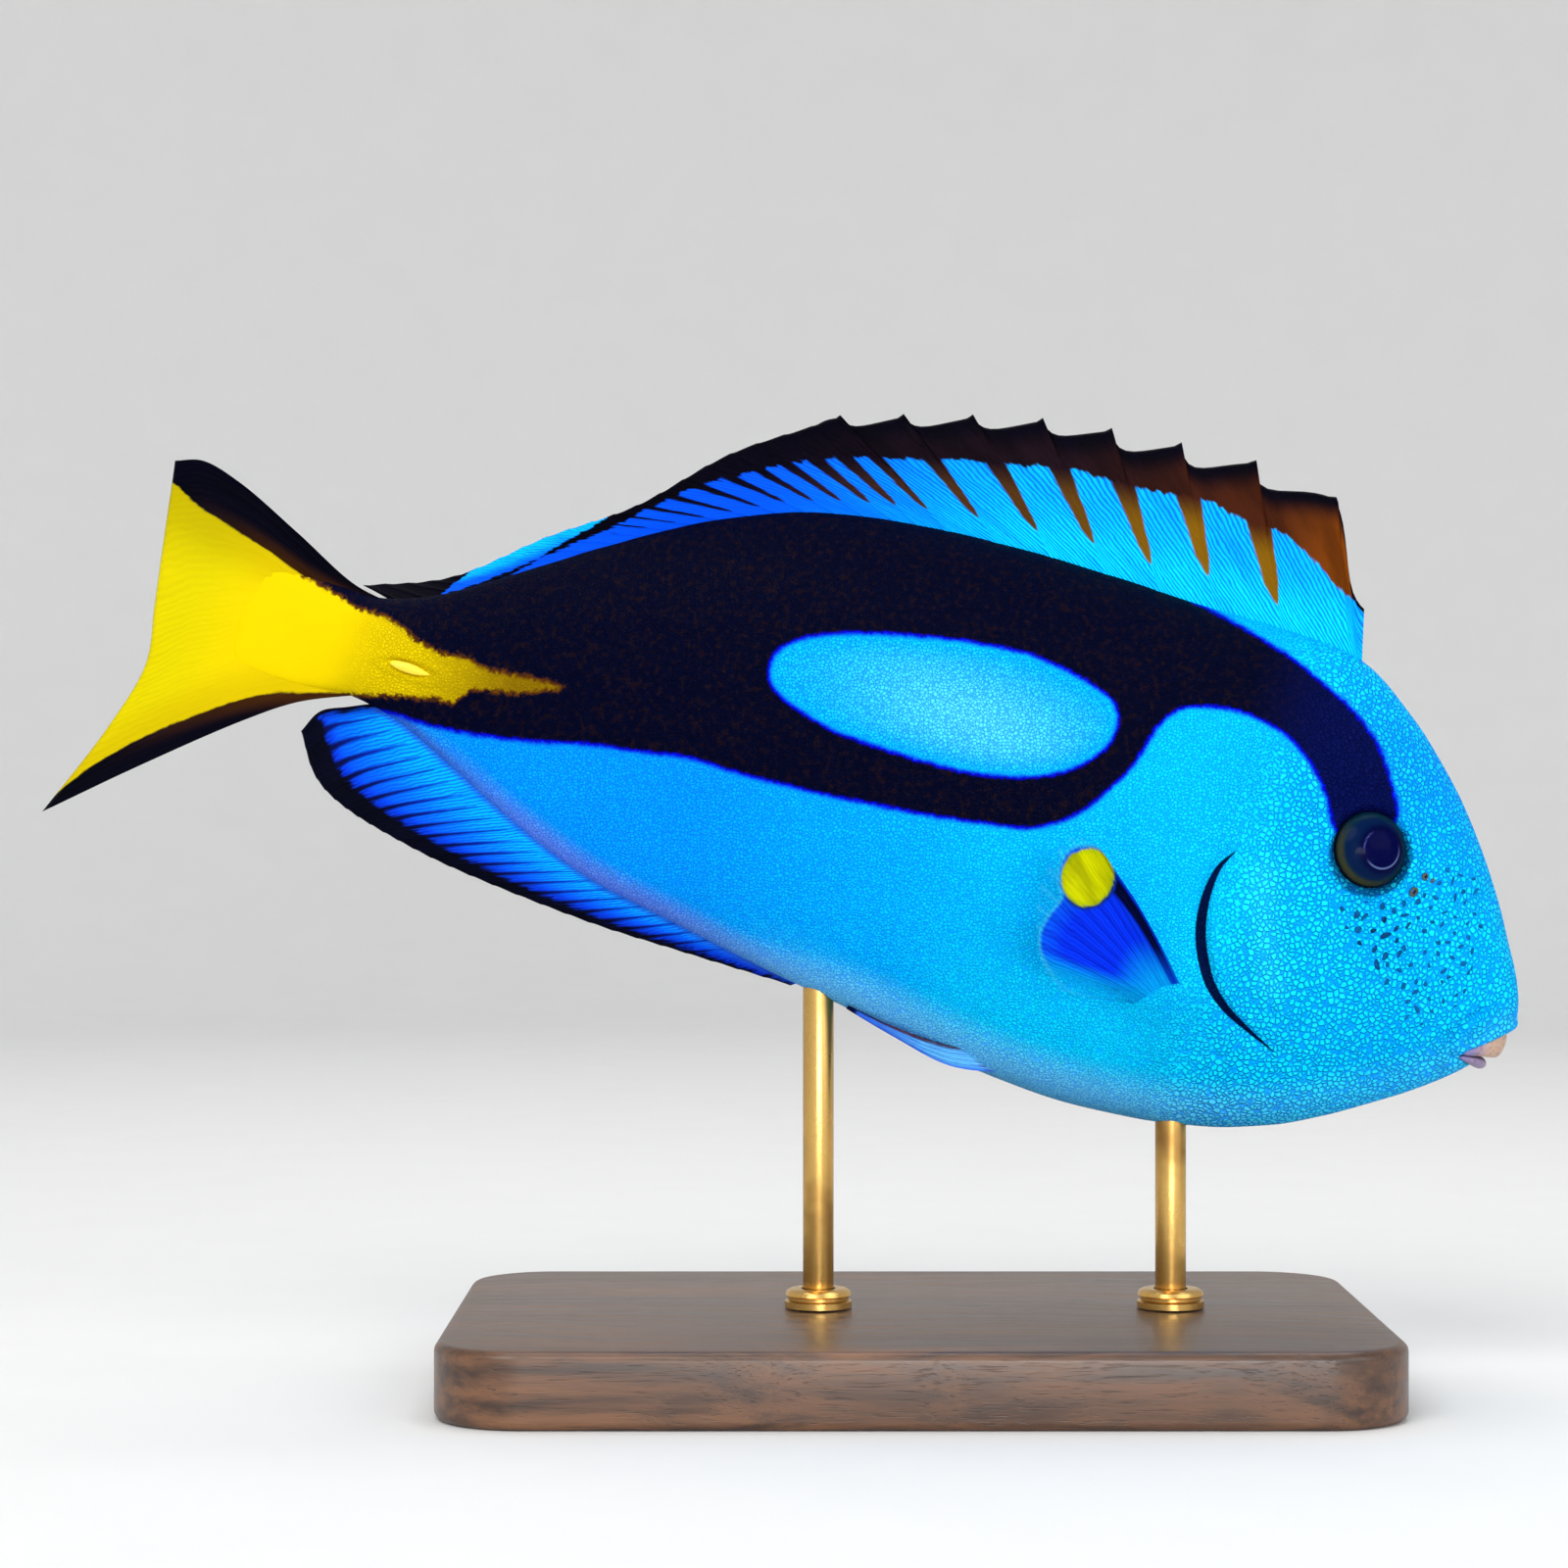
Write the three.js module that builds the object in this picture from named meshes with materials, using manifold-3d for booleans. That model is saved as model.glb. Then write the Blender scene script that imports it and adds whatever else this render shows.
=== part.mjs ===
// A life-size regal blue tang (Paracanthurus hepatus), swimming nose down, held over a flat base by two rods.
// Units are millimetres, +Z is up. The fish swims towards +X, so its right side faces -Y.
// The origin is on the floor under the middle of the fish, on the underside of the base.
//
// The fish is drawn straight, in its own frame, and then bent and tilted. In that frame x is the distance
// ahead of the tail root, z the height over the line from the tail root to the mouth, and y is 0 on the
// middle plane.
import * as THREE from "three";
import { mergeVertices } from "three/addons/utils/BufferGeometryUtils.js";
import Module from "manifold-3d";

const wasm = await Module();
wasm.setup();

// Overall sizes and pose
const SNOUT_X = 198;
const TAIL_STALK_END_X = -7;
const PITCH_DEG = 18;
const TAIL_ROOT = { x: -67.9, z: 120 };
const TOUCH_GAP = 0.3;
// Edges shorter than this are merged away after a cut.
const SHORTEST_EDGE = 0.01;

// Planes beyond every part of the fish, for solids that cut it
const BEYOND = { ahead: 230, behind: -60, above: 90, below: -70, beside: 60 };

// The tail swings to the fish's left and twists, so that the upper lobe trails.
const SWING_START_X = 75;
const SWING_END_X = -40;
const SWING = 10;
const TAIL_TWIST = 0.15;
const TAIL_AXIS_Z = -8;

// Body offsets at stations from the snout to the tail: [x, back, belly, half width]
const BODY_STATIONS = [
  [198, -1.2, -1.2, 0],
  [196, 6.3, -4.8, 4.2],
  [192, 13.2, -10.1, 6.6],
  [185, 23.6, -16.0, 9.0],
  [177, 33.0, -21.6, 11.1],
  [167, 41.7, -27.5, 13.2],
  [156, 48.2, -31.7, 14.9],
  [143, 49.3, -34.3, 16.1],
  [128, 48.8, -35.3, 16.6],
  [112, 48.9, -34.3, 16.4],
  [95, 48.3, -31.9, 15.4],
  [78, 46.7, -29.6, 13.8],
  [62, 43.3, -27.1, 11.8],
  [47, 36.8, -24.6, 9.7],
  [33, 28.2, -20.0, 7.7],
  [20, 19.2, -14.4, 6.1],
  [9, 12.0, -9.9, 5.2],
  [0, 8.6, -8.2, 4.2],
  [-4, 8.2, -8.4, 2.6],
  [-8, 8.4, -9.0, 1.1],
];
const BACK_FULLNESS = 1.2;
const BELLY_FULLNESS = 1.02;
const BODY_RINGS = 36;
const BODY_SIDES = 28;
const RING_SPACING_POWER = 1.6;

// Where the body is parted
const STALK_CUT_X = 20;
const GILL_SLIT = [
  [144.5, 12.8],
  [142.4, 9.2],
  [141.9, 4.5],
  [143.0, -1.2],
  [146.2, -7.6],
  [151.6, -13.2],
  [161.0, -16.6],
];
const HEAD_CUT_ABOVE = [
  [157.5, 60],
  [155.5, 46],
  [149.5, 28],
];
const HEAD_CUT_BELOW = [
  [167, -22],
  [170, -36],
];
const GILL_SLIT_HALF_WIDTH = 1.1;
const GILL_SLIT_DEPTH = 1.5;
const GILL_COVER_FRONT = [
  [162.4, -14.4],
  [161.6, -6],
  [159.4, 3.6],
  [155.1, 11.0],
  [149.5, 14.2],
];
const GILL_COVER_THICKNESS = 2.4;
const GILL_LINE_STEPS = 12;
const COVER_LINE_STEPS = 10;
// A widened outline is moved out by a little more than the gap, so that the gap holds at its corners too.
const CORNER_ALLOWANCE = 1.2;

// Mouth, nostrils and eyes
const MOUTH_CORNER = [189.8, -7.6];
const UPPER_LIP = [198.2, -2.2];
const LOWER_LIP = { x: 190.6, z: -9.6, length: 3.6, width: 4.4, height: 1.5 };
const JAW_CUT = [
  [189.8, -7.6],
  [184.5, -10.5],
  [177.5, -24],
];
const LIP = { radius: 0.8, inset: 0.3, turns: 8 };
// How far the gape opens beyond the upper lip, and how far its lower line stops short of the lower lip
const GAPE = { ahead: 4, rise: 1.4, short: 0.5, over: 0.8 };
const NOSTRILS = [
  { x: 173.8, z: 14.7, radius: 0.75 },
  { x: 174.9, z: 17.6, radius: 0.55 },
];
const EYE = { x: 165.1, z: 19.1, radius: 6.2, bulge: 3.6, sunk: 1.3 };
const EYE_RIM = { radius: 0.7, clear: 0.1, sunk: 0.3 };

// Fins: the thickness is that of the membrane, and the relief is how far a ray stands proud of it on each face.
const MEMBRANE = 0.6;
const ROOT_THICKENING = 0.8;
const ROOT_SUNK = 2.0;
const RIDGE_FADE = 0.55;
const BESIDE_RAY = [0.14, 0.86];
const BESIDE_SPINE = [0.14, 0.5, 0.78, 0.92];
const SCALLOP_POWER = 6;

const DORSAL = {
  spines: 9,
  softRays: 20,
  rows: 4,
  spineRelief: 0.34,
  rayRelief: 0.2,
  // [ray number, x of its foot]
  feet: [[0, 156.4], [1, 154.1], [2, 142.5], [3, 131.3], [5, 113.2], [8, 87.9], [10, 79.4], [28, 5.6]],
  // [ray number, x, z] of its tip
  tips: [
    [0, 153.6, 56.4],
    [1, 143.6, 71.9],
    [2, 129.3, 73.6],
    [3, 116.9, 72.6],
    [5, 94.2, 69.4],
    [8, 62.7, 59.7],
    [9, 58.6, 57.0],
    [12, 47.3, 48.6],
    [16, 35.2, 35.9],
    [20, 22.6, 26.6],
    [24, 9.8, 15.8],
    [28, -4.4, 9.8],
  ],
  // How far the membrane dips below the line between two spine tips, from the first pair to the last
  scallops: [1.3, 3.5, 3.1, 2.7, 2.1, 1.8, 1.6, 1.4],
  softScallop: 0.3,
  leanStart: 0.45,
  lean: 6.5,
};

const ANAL = {
  spines: 3,
  softRays: 18,
  rows: 4,
  relief: 0.22,
  feet: [[0, 86.5], [20, 6.5]],
  tips: [
    [0, 83.5, -31.0],
    [3, 65.4, -31.3],
    [6, 48.7, -31.4],
    [10, 26.2, -30.0],
    [13, 13.6, -28.1],
    [16, 4.0, -25.6],
    [18, -1.4, -22.4],
    [20, -5.7, -16.3],
  ],
  // Between the last ray's foot and its tip
  rearEdge: [[0.8, -9.9], [-3.9, -12.3]],
  scallop: 0.3,
  lean: -1.6,
};

const CAUDAL = {
  rays: 16,
  rows: 6,
  relief: 0.2,
  upperEdge: [[2, 8.2], [-5.1, 9.4], [-16.9, 14.6], [-29.2, 19.7], [-36.5, 21.3], [-41.1, 19.9]],
  lowerEdge: [[2, -7.4], [-8.0, -12.0], [-15.6, -17.6], [-29.7, -30.1], [-42.3, -42.1]],
  trailingEdge: [[-41.1, 19.9], [-39.0, 10.0], [-36.0, -4.0], [-34.2, -13.5], [-36.6, -25.0], [-42.3, -42.1]],
};

const PECTORAL = {
  rays: 16,
  rows: 4,
  relief: 0.16,
  // [x, y out from the middle plane, z]
  root: [[143.2, 13.4, -11.6], [136.4, 13.4, -15.4]],
  leadingEdge: [[143.2, 13.4, -11.6], [132.6, 25.0, -2.3], [124.7, 36.0, 3.0]],
  trailingEdge: [[136.4, 13.4, -15.4], [129.3, 19.0, -17.1], [123.4, 24.0, -17.5]],
  margin: [
    [124.7, 36.0, 3.0],
    [120.6, 40.0, 5.9],
    [116.6, 41.5, 5.6],
    [114.5, 38.5, -1.2],
    [116.3, 34.0, -8.9],
    [119.3, 29.0, -14.5],
    [123.4, 24.0, -17.5],
  ],
};

const PELVIC = {
  rays: 4,
  rows: 6,
  relief: 0.18,
  root: [[121.0, 2.6, -33.6], [117.0, 3.6, -31.0]],
  lowerEdge: [[121.0, 2.6, -33.6], [112.0, 4.4, -35.0], [102.0, 4.2, -33.4], [93.2, 3.4, -31.6]],
  upperEdge: [[117.0, 3.6, -31.0], [110.0, 5.6, -32.2], [101.0, 5.2, -32.0], [93.4, 3.6, -31.0]],
};

// The folding spine on each side of the tail stalk, and the groove that it lies in
const TAIL_SPINE = { x: 8.6, z: -1.0, length: 7.0, height: 1.7, width: 1.5, taper: 0.55 };
const TAIL_SPINE_GROOVE = { length: 9.0, height: 2.6, depth: 1.1 };

// Display stand
const BASE = { centreX: 22, length: 150, width: 100, thickness: 12, corner: 14, bevel: 1.5 };
const RODS = [
  { name: "front", x: 64, radius: 2.5 },
  { name: "rear", x: 6.5, radius: 2.5 },
];
const ROD_SIDES = 20;
const ROD_REACH = 30;
const COLLAR = { radius: 5.5, height: 3, chamfer: 0.6 };

// Materials, coloured as in life
const colour = (hex, roughness, metalness = 0) =>
  new THREE.MeshStandardMaterial({ color: hex, roughness, metalness });
const MATERIALS = {
  blueSkin: colour(0x04b4fa, 0.45),
  yellowSkin: colour(0xf2d800, 0.45),
  blueFin: colour(0x0a7bf0, 0.4),
  yellowFin: colour(0xffe602, 0.4),
  eye: colour(0x050822, 0.08),
  bone: colour(0xfff3a0, 0.3),
  wood: colour(0x3a2416, 0.5),
  brass: colour(0xb08a3e, 0.3, 1),
};

// A smooth curve through [position, value] knots, with a slope at each knot taken from its neighbours.
function curveThrough(knots) {
  const slope = knots.map((_, i) => {
    const [a, b] = [knots[Math.max(i - 1, 0)], knots[Math.min(i + 1, knots.length - 1)]];
    return (b[1] - a[1]) / (b[0] - a[0]);
  });
  return (at) => {
    let i = knots.findIndex((k, n) => n > 0 && at <= k[0]);
    if (i < 0) i = knots.length - 1;
    const [p0, v0] = knots[i - 1];
    const [p1, v1] = knots[i];
    const span = p1 - p0;
    const t = THREE.MathUtils.clamp((at - p0) / span, 0, 1);
    const t2 = t * t;
    const t3 = t2 * t;
    return (
      (2 * t3 - 3 * t2 + 1) * v0 +
      (t3 - 2 * t2 + t) * span * slope[i - 1] +
      (3 * t2 - 2 * t3) * v1 +
      (t3 - t2) * span * slope[i]
    );
  };
}

// The station curves run over the square root of the distance behind the snout, which makes the nose round.
const noseDistance = (x) => Math.sqrt(Math.max(SNOUT_X - x, 0));
const stationCurve = (column) => {
  const curve = curveThrough(BODY_STATIONS.map((row) => [noseDistance(row[0]), row[column]]));
  return (x) => curve(noseDistance(x));
};
const backHeight = stationCurve(1);
const bellyHeight = stationCurve(2);
const halfWidth = stationCurve(3);

// Half the body's width at a point of its side view
function sideOfBody(x, z) {
  const middle = (backHeight(x) + bellyHeight(x)) / 2;
  const half = (backHeight(x) - bellyHeight(x)) / 2;
  const rise = THREE.MathUtils.clamp((z - middle) / half, -1, 1);
  const fullness = rise > 0 ? BACK_FULLNESS : BELLY_FULLNESS;
  return halfWidth(x) * Math.pow(1 - rise * rise, fullness / 2);
}

// The outward direction of the body's right or left side there
function sideNormal(x, z, side) {
  const step = 0.5;
  const alongX = (sideOfBody(x + step, z) - sideOfBody(x - step, z)) / (2 * step);
  const alongZ = (sideOfBody(x, z + step) - sideOfBody(x, z - step)) / (2 * step);
  return new THREE.Vector3(-alongX, side, -alongZ).normalize();
}

// A closed mesh over rings of points, with a flat cap at each end
function loftGeometry(rings) {
  const sides = rings[0].length;
  const positions = rings.flat().flatMap((p) => [p.x, p.y, p.z]);
  const faces = [];
  for (let r = 0; r + 1 < rings.length; r++)
    for (let s = 0; s < sides; s++) {
      const [a, b] = [r * sides + s, r * sides + ((s + 1) % sides)];
      const [c, d] = [a + sides, b + sides];
      faces.push(a, b, d, a, d, c);
    }
  for (const [ring, start, turn] of [[rings[0], 0, 1], [rings.at(-1), (rings.length - 1) * sides, 0]]) {
    const centre = ring.reduce((sum, p) => sum.add(p), new THREE.Vector3()).divideScalar(sides);
    const hub = positions.length / 3;
    positions.push(centre.x, centre.y, centre.z);
    for (let s = 0; s < sides; s++) {
      const pair = [start + s, start + ((s + 1) % sides)];
      faces.push(hub, pair[turn], pair[1 - turn]);
    }
  }
  return indexedGeometry(positions, faces);
}

// A geometry from flat lists, turned round if its faces point inwards
function indexedGeometry(positions, faces) {
  const point = (i) => new THREE.Vector3(...positions.slice(3 * i, 3 * i + 3));
  let volume = 0;
  for (let f = 0; f < faces.length; f += 3)
    volume += point(faces[f]).dot(point(faces[f + 1]).cross(point(faces[f + 2])));
  if (volume < 0) faces.reverse();
  return new THREE.BufferGeometry()
    .setAttribute("position", new THREE.Float32BufferAttribute(positions, 3))
    .setIndex(faces);
}

const joined = (geometry) => mergeVertices(geometry.clone().deleteAttribute("normal").deleteAttribute("uv"), 1e-4);

// A geometry as a solid that can be joined and cut, and back again
function solidOf(geometry) {
  const { attributes, index } = joined(geometry);
  return new wasm.Manifold(
    new wasm.Mesh({
      numProp: 3,
      vertProperties: new Float32Array(attributes.position.array),
      triVerts: new Uint32Array(index.array),
    }),
  );
}

function geometryOf(solid) {
  const pieces = solid.decompose().sort((a, b) => b.volume() - a.volume());
  const { vertProperties, triVerts } = pieces[0].getMesh();
  const geometry = new THREE.BufferGeometry()
    .setAttribute("position", new THREE.BufferAttribute(vertProperties, 3))
    .setIndex(new THREE.BufferAttribute(triVerts, 1));
  geometry.computeVertexNormals();
  return geometry;
}

// The same closed surface, moved out along its normals
function grown(geometry, by) {
  const copy = joined(geometry);
  copy.computeVertexNormals();
  const { position, normal } = copy.attributes;
  for (let i = 0; i < position.count; i++)
    position.setXYZ(
      i,
      position.getX(i) + by * normal.getX(i),
      position.getY(i) + by * normal.getY(i),
      position.getZ(i) + by * normal.getZ(i),
    );
  return copy;
}

// A prism across the fish over an outline of [x, z] points, between two values of y
function prism(outline, fromY = -BEYOND.beside, toY = BEYOND.beside) {
  const shape = new THREE.Shape(outline.map(([x, z]) => new THREE.Vector2(x, z)));
  const geometry = new THREE.ExtrudeGeometry(shape, { depth: toY - fromY, bevelEnabled: false });
  geometry.rotateX(Math.PI / 2);
  geometry.translate(0, toY, 0);
  return geometry;
}

// A closed outline of [x, z] points moved outwards all round
function widened(outline, by) {
  const turn = Math.sign(THREE.ShapeUtils.area(outline.map(([x, y]) => ({ x, y }))));
  return outline.map(([x, z], i) => {
    const before = outline.at(i - 1);
    const after = outline[(i + 1) % outline.length];
    const into = new THREE.Vector2(x - before[0], z - before[1]).normalize();
    const away = new THREE.Vector2(after[0] - x, after[1] - z).normalize();
    const out = into.add(away).rotateAround(new THREE.Vector2(), -turn * Math.PI / 2).normalize();
    return [x + by * CORNER_ALLOWANCE * out.x, z + by * CORNER_ALLOWANCE * out.y];
  });
}

// Points evenly spread along a smooth curve through [x, z] points
const smoothLine = (points, count) =>
  new THREE.SplineCurve(points.map(([x, z]) => new THREE.Vector2(x, z))).getPoints(count).map((p) => [p.x, p.y]);

// Bodies

function bodyGeometry() {
  const rings = [];
  for (let r = 1; r <= BODY_RINGS; r++) {
    const share = Math.pow(r / BODY_RINGS, RING_SPACING_POWER);
    const x = SNOUT_X - (SNOUT_X - TAIL_STALK_END_X) * share;
    const middle = (backHeight(x) + bellyHeight(x)) / 2;
    const half = (backHeight(x) - bellyHeight(x)) / 2;
    const ring = [];
    for (let s = 0; s < BODY_SIDES; s++) {
      const angle = (2 * Math.PI * (s + 0.5)) / BODY_SIDES;
      const fullness = Math.sin(angle) > 0 ? BACK_FULLNESS : BELLY_FULLNESS;
      const across = Math.sign(Math.cos(angle)) * Math.pow(Math.abs(Math.cos(angle)), fullness);
      ring.push(new THREE.Vector3(x, halfWidth(x) * across, middle + half * Math.sin(angle)));
    }
    rings.push(ring);
  }
  return loftGeometry(rings);
}

const BODY = bodyGeometry();
const body = solidOf(BODY);
const bodyWithGap = solidOf(grown(BODY, TOUCH_GAP));

// The line that parts the head from the trunk, from above the nape, down the gill slit, to below the throat
const gillLine = smoothLine(GILL_SLIT, GILL_LINE_STEPS);
const headCutLine = [...HEAD_CUT_ABOVE, ...gillLine, ...HEAD_CUT_BELOW];

function gillSlits() {
  const last = gillLine.length - 1;
  const edge = (side) =>
    gillLine.map(([x, z], i) => {
      const width = GILL_SLIT_HALF_WIDTH * Math.sin((Math.PI * i) / last);
      const [before, after] = [gillLine[Math.max(i - 1, 0)], gillLine[Math.min(i + 1, last)]];
      const along = new THREE.Vector2(after[0] - before[0], after[1] - before[1]).normalize();
      return [x - side * width * along.y, z + side * width * along.x];
    });
  const outline = [...edge(1), ...edge(-1).slice(1, -1).reverse()];
  return solidOf(prism(outline)).subtract(solidOf(grown(BODY, -GILL_SLIT_DEPTH)));
}

const headSide = (gap) => [
  ...headCutLine.map(([x, z]) => [x - gap, z]),
  [BEYOND.ahead, headCutLine.at(-1)[1]],
  [BEYOND.ahead, headCutLine[0][1]],
];
const jawOutline = (gap) => [
  [JAW_CUT[0][0] - gap, JAW_CUT[0][1] + gap],
  [JAW_CUT[1][0] - gap, JAW_CUT[1][1] + gap],
  [JAW_CUT[2][0] - gap, JAW_CUT[2][1]],
  [BEYOND.ahead, JAW_CUT[2][1]],
  [BEYOND.ahead, JAW_CUT[0][1] + gap],
];

// The gape of the mouth, which is open across the whole snout
const mouthGape = () =>
  solidOf(
    prism([
      MOUTH_CORNER,
      [UPPER_LIP[0] + GAPE.ahead, UPPER_LIP[1] + GAPE.rise],
      [UPPER_LIP[0] + GAPE.ahead, LOWER_LIP.z + LOWER_LIP.height],
      [LOWER_LIP.x + LOWER_LIP.length - GAPE.short, LOWER_LIP.z + GAPE.over],
    ]),
  );

// The upper lip is a round bead that runs from one corner of the mouth, round the snout, to the other.
function upperLip() {
  const front = UPPER_LIP[0] - LIP.radius;
  const halfMouth = sideOfBody(...MOUTH_CORNER) - LIP.inset;
  const points = [];
  for (let i = 0; i <= LIP.turns; i++) {
    const turn = (Math.PI * i) / LIP.turns;
    const along = Math.sin(turn);
    const x = MOUTH_CORNER[0] + (front - MOUTH_CORNER[0]) * along;
    const z = MOUTH_CORNER[1] + (UPPER_LIP[1] - MOUTH_CORNER[1]) * along;
    points.push(new THREE.Vector3(x, halfMouth * Math.cos(turn), z));
  }
  const section = new THREE.Shape().absarc(0, 0, LIP.radius, 0, 2 * Math.PI);
  return new THREE.ExtrudeGeometry(section, {
    steps: 12,
    curveSegments: 3,
    bevelEnabled: false,
    extrudePath: new THREE.CatmullRomCurve3(points),
  });
}

// The lower lip is the rounded front of the jaw.
function lowerLip() {
  const { x, z, length, width, height } = LOWER_LIP;
  return new THREE.SphereGeometry(1, 16, 8).rotateX(Math.PI / 2).scale(length, width, height).translate(x, 0, z);
}

function eyePlace(side) {
  const surface = new THREE.Vector3(EYE.x, side * sideOfBody(EYE.x, EYE.z), EYE.z);
  const out = sideNormal(EYE.x, EYE.z, side);
  return { out, centre: surface.clone().addScaledVector(out, -EYE.sunk) };
}

// An eyeball, flattened along its own Z, which faces out of the head
function eyeGeometry(gap = 0) {
  const ball = new THREE.SphereGeometry(1, 16, 10);
  ball.rotateX(Math.PI / 2);
  return ball.scale(EYE.radius + gap, EYE.radius + gap, EYE.bulge + gap);
}

const turnTo = (out) => new THREE.Quaternion().setFromUnitVectors(new THREE.Vector3(0, 0, 1), out);

function atEye(geometry, side) {
  const { out, centre } = eyePlace(side);
  return geometry.applyQuaternion(turnTo(out)).translate(centre.x, centre.y, centre.z);
}

function eyeRim() {
  const rim = new THREE.TorusGeometry(EYE.radius + EYE_RIM.clear, EYE_RIM.radius, 5, 18);
  return rim.translate(0, 0, EYE.sunk - EYE_RIM.sunk);
}

function headParts() {
  const slits = gillSlits();
  let head = body.intersect(solidOf(prism(headSide(0))));
  head = head.add(solidOf(upperLip()));
  for (const side of [-1, 1]) {
    head = head.add(solidOf(atEye(eyeRim(), side))).subtract(solidOf(atEye(eyeGeometry(TOUCH_GAP), side)));
    for (const { x, z, radius } of NOSTRILS) {
      const pit = new THREE.IcosahedronGeometry(radius, 1).translate(x, side * sideOfBody(x, z), z);
      head = head.subtract(solidOf(pit));
    }
  }
  head = head.subtract(mouthGape()).subtract(slits);
  const jaw = head.intersect(solidOf(prism(jawOutline(0)))).add(solidOf(lowerLip())).subtract(mouthGape());
  head = head.subtract(solidOf(prism(jawOutline(TOUCH_GAP)))).subtract(solidOf(grown(lowerLip(), TOUCH_GAP)));
  const core = solidOf(grown(BODY, -GILL_COVER_THICKNESS));
  const coreWithGap = solidOf(grown(BODY, -GILL_COVER_THICKNESS - TOUCH_GAP));
  const coverOutline = [...gillLine, ...smoothLine(GILL_COVER_FRONT, COVER_LINE_STEPS)];
  const covers = head.intersect(solidOf(prism(coverOutline))).subtract(core);
  head = head.subtract(solidOf(prism(widened(coverOutline, TOUCH_GAP))).subtract(coreWithGap));
  const [right, left] = covers.decompose().sort((a, b) => middleY(a) - middleY(b));
  return { head, jaw, gillCoverRight: right, gillCoverLeft: left, slits };
}

const middleY = (solid) => {
  const { min, max } = solid.boundingBox();
  return (min[1] + max[1]) / 2;
};

const behindHead = () => body.subtract(solidOf(prism(headSide(TOUCH_GAP))));
const behind = (x) =>
  prism([[x, BEYOND.below], [x, BEYOND.above], [BEYOND.behind, BEYOND.above], [BEYOND.behind, BEYOND.below]]);

function trunk(slits) {
  return behindHead().subtract(slits).subtract(solidOf(behind(STALK_CUT_X)));
}

function tailSpinePlace(side) {
  const { x, z } = TAIL_SPINE;
  return new THREE.Vector3(x, side * sideOfBody(x, z), z);
}

// The spine points forwards and lies flush in its groove.
function tailSpineGeometry(side) {
  const { length, height, width, taper } = TAIL_SPINE;
  const at = tailSpinePlace(side);
  const blade = new THREE.SphereGeometry(1, 12, 8).rotateZ(Math.PI / 2);
  const { position } = blade.attributes;
  for (let i = 0; i < position.count; i++) {
    const along = position.getX(i);
    const slim = along > 0 ? 1 - taper * along * along : 1;
    position.setXYZ(
      i,
      (along * length) / 2,
      (position.getY(i) * slim * width) / 2,
      (position.getZ(i) * slim * height) / 2,
    );
  }
  return blade.translate(at.x, at.y, at.z);
}

function tailStalk() {
  let stalk = body.intersect(solidOf(behind(STALK_CUT_X - TOUCH_GAP)));
  for (const side of [-1, 1]) {
    const at = tailSpinePlace(side);
    const { length, height, depth } = TAIL_SPINE_GROOVE;
    const groove = new THREE.SphereGeometry(1, 14, 8)
      .rotateZ(Math.PI / 2)
      .scale(length / 2, depth, height / 2)
      .translate(at.x, at.y, at.z);
    stalk = stalk.subtract(solidOf(groove));
  }
  return stalk;
}

// Fins

// The surface that four edges bound: root and margin run over u, the leading and trailing edges over v.
function finSurface(root, margin, leading, trailing) {
  const corner = { a: root(0), b: root(1), c: margin(0), d: margin(1) };
  return (u, v) => {
    const across = root(u).multiplyScalar(1 - v).addScaledVector(margin(u), v);
    const along = leading(v).multiplyScalar(1 - u).addScaledVector(trailing(v), u);
    const flat = new THREE.Vector3()
      .addScaledVector(corner.a, (1 - u) * (1 - v))
      .addScaledVector(corner.b, u * (1 - v))
      .addScaledVector(corner.c, (1 - u) * v)
      .addScaledVector(corner.d, u * v);
    return across.add(along).sub(flat);
  };
}

const straight = (from, to) => (t) => from.clone().lerp(to, t);
const onMiddle = ([x, z]) => new THREE.Vector3(x, 0, z);
const curved = (points) => {
  const curve = new THREE.CatmullRomCurve3(points, false, "centripetal");
  return (t) => curve.getPoint(t);
};

// A fin as two sheets of like triangles on either side of its surface, closed round the edges
function finGeometry(surface, us, vs, halfThickness) {
  const step = 1e-3;
  const positions = [];
  for (const side of [-1, 1])
    for (const u of us)
      for (const v of vs) {
        const [u0, u1] = [Math.max(u - step, 0), Math.min(u + step, 1)];
        const [v0, v1] = [Math.max(v - step, 0), Math.min(v + step, 1)];
        const alongU = surface(u1, v).sub(surface(u0, v));
        const alongV = surface(u, v1).sub(surface(u, v0));
        const out = alongU.cross(alongV).normalize();
        const point = surface(u, v).addScaledVector(out, side * halfThickness(u, v));
        positions.push(point.x, point.y, point.z);
      }
  const [columns, rows] = [us.length, vs.length];
  const sheet = columns * rows;
  const faces = [];
  for (let i = 0; i + 1 < columns; i++)
    for (let j = 0; j + 1 < rows; j++) {
      const [a, b] = [i * rows + j, i * rows + j + 1];
      const [c, d] = [a + rows, b + rows];
      faces.push(a, b, d, a, d, c);
      faces.push(sheet + a, sheet + d, sheet + b, sheet + a, sheet + c, sheet + d);
    }
  const rim = [];
  for (let i = 0; i + 1 < columns; i++) rim.push(i * rows);
  for (let j = 0; j + 1 < rows; j++) rim.push((columns - 1) * rows + j);
  for (let i = columns - 1; i > 0; i--) rim.push(i * rows + rows - 1);
  for (let j = rows - 1; j > 0; j--) rim.push(j);
  rim.forEach((a, n) => {
    const b = rim[(n + 1) % rim.length];
    faces.push(a, sheet + b, sheet + a, a, b, sheet + b);
  });
  return indexedGeometry(positions, faces);
}

// Columns of a fin: one on each ray, and some between it and the next
function rayColumns(rays, between) {
  const us = [];
  for (let k = 0; k + 1 < rays; k++) us.push(...[0, ...between(k)].map((s) => (k + s) / (rays - 1)));
  us.push(1);
  return us;
}

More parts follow.
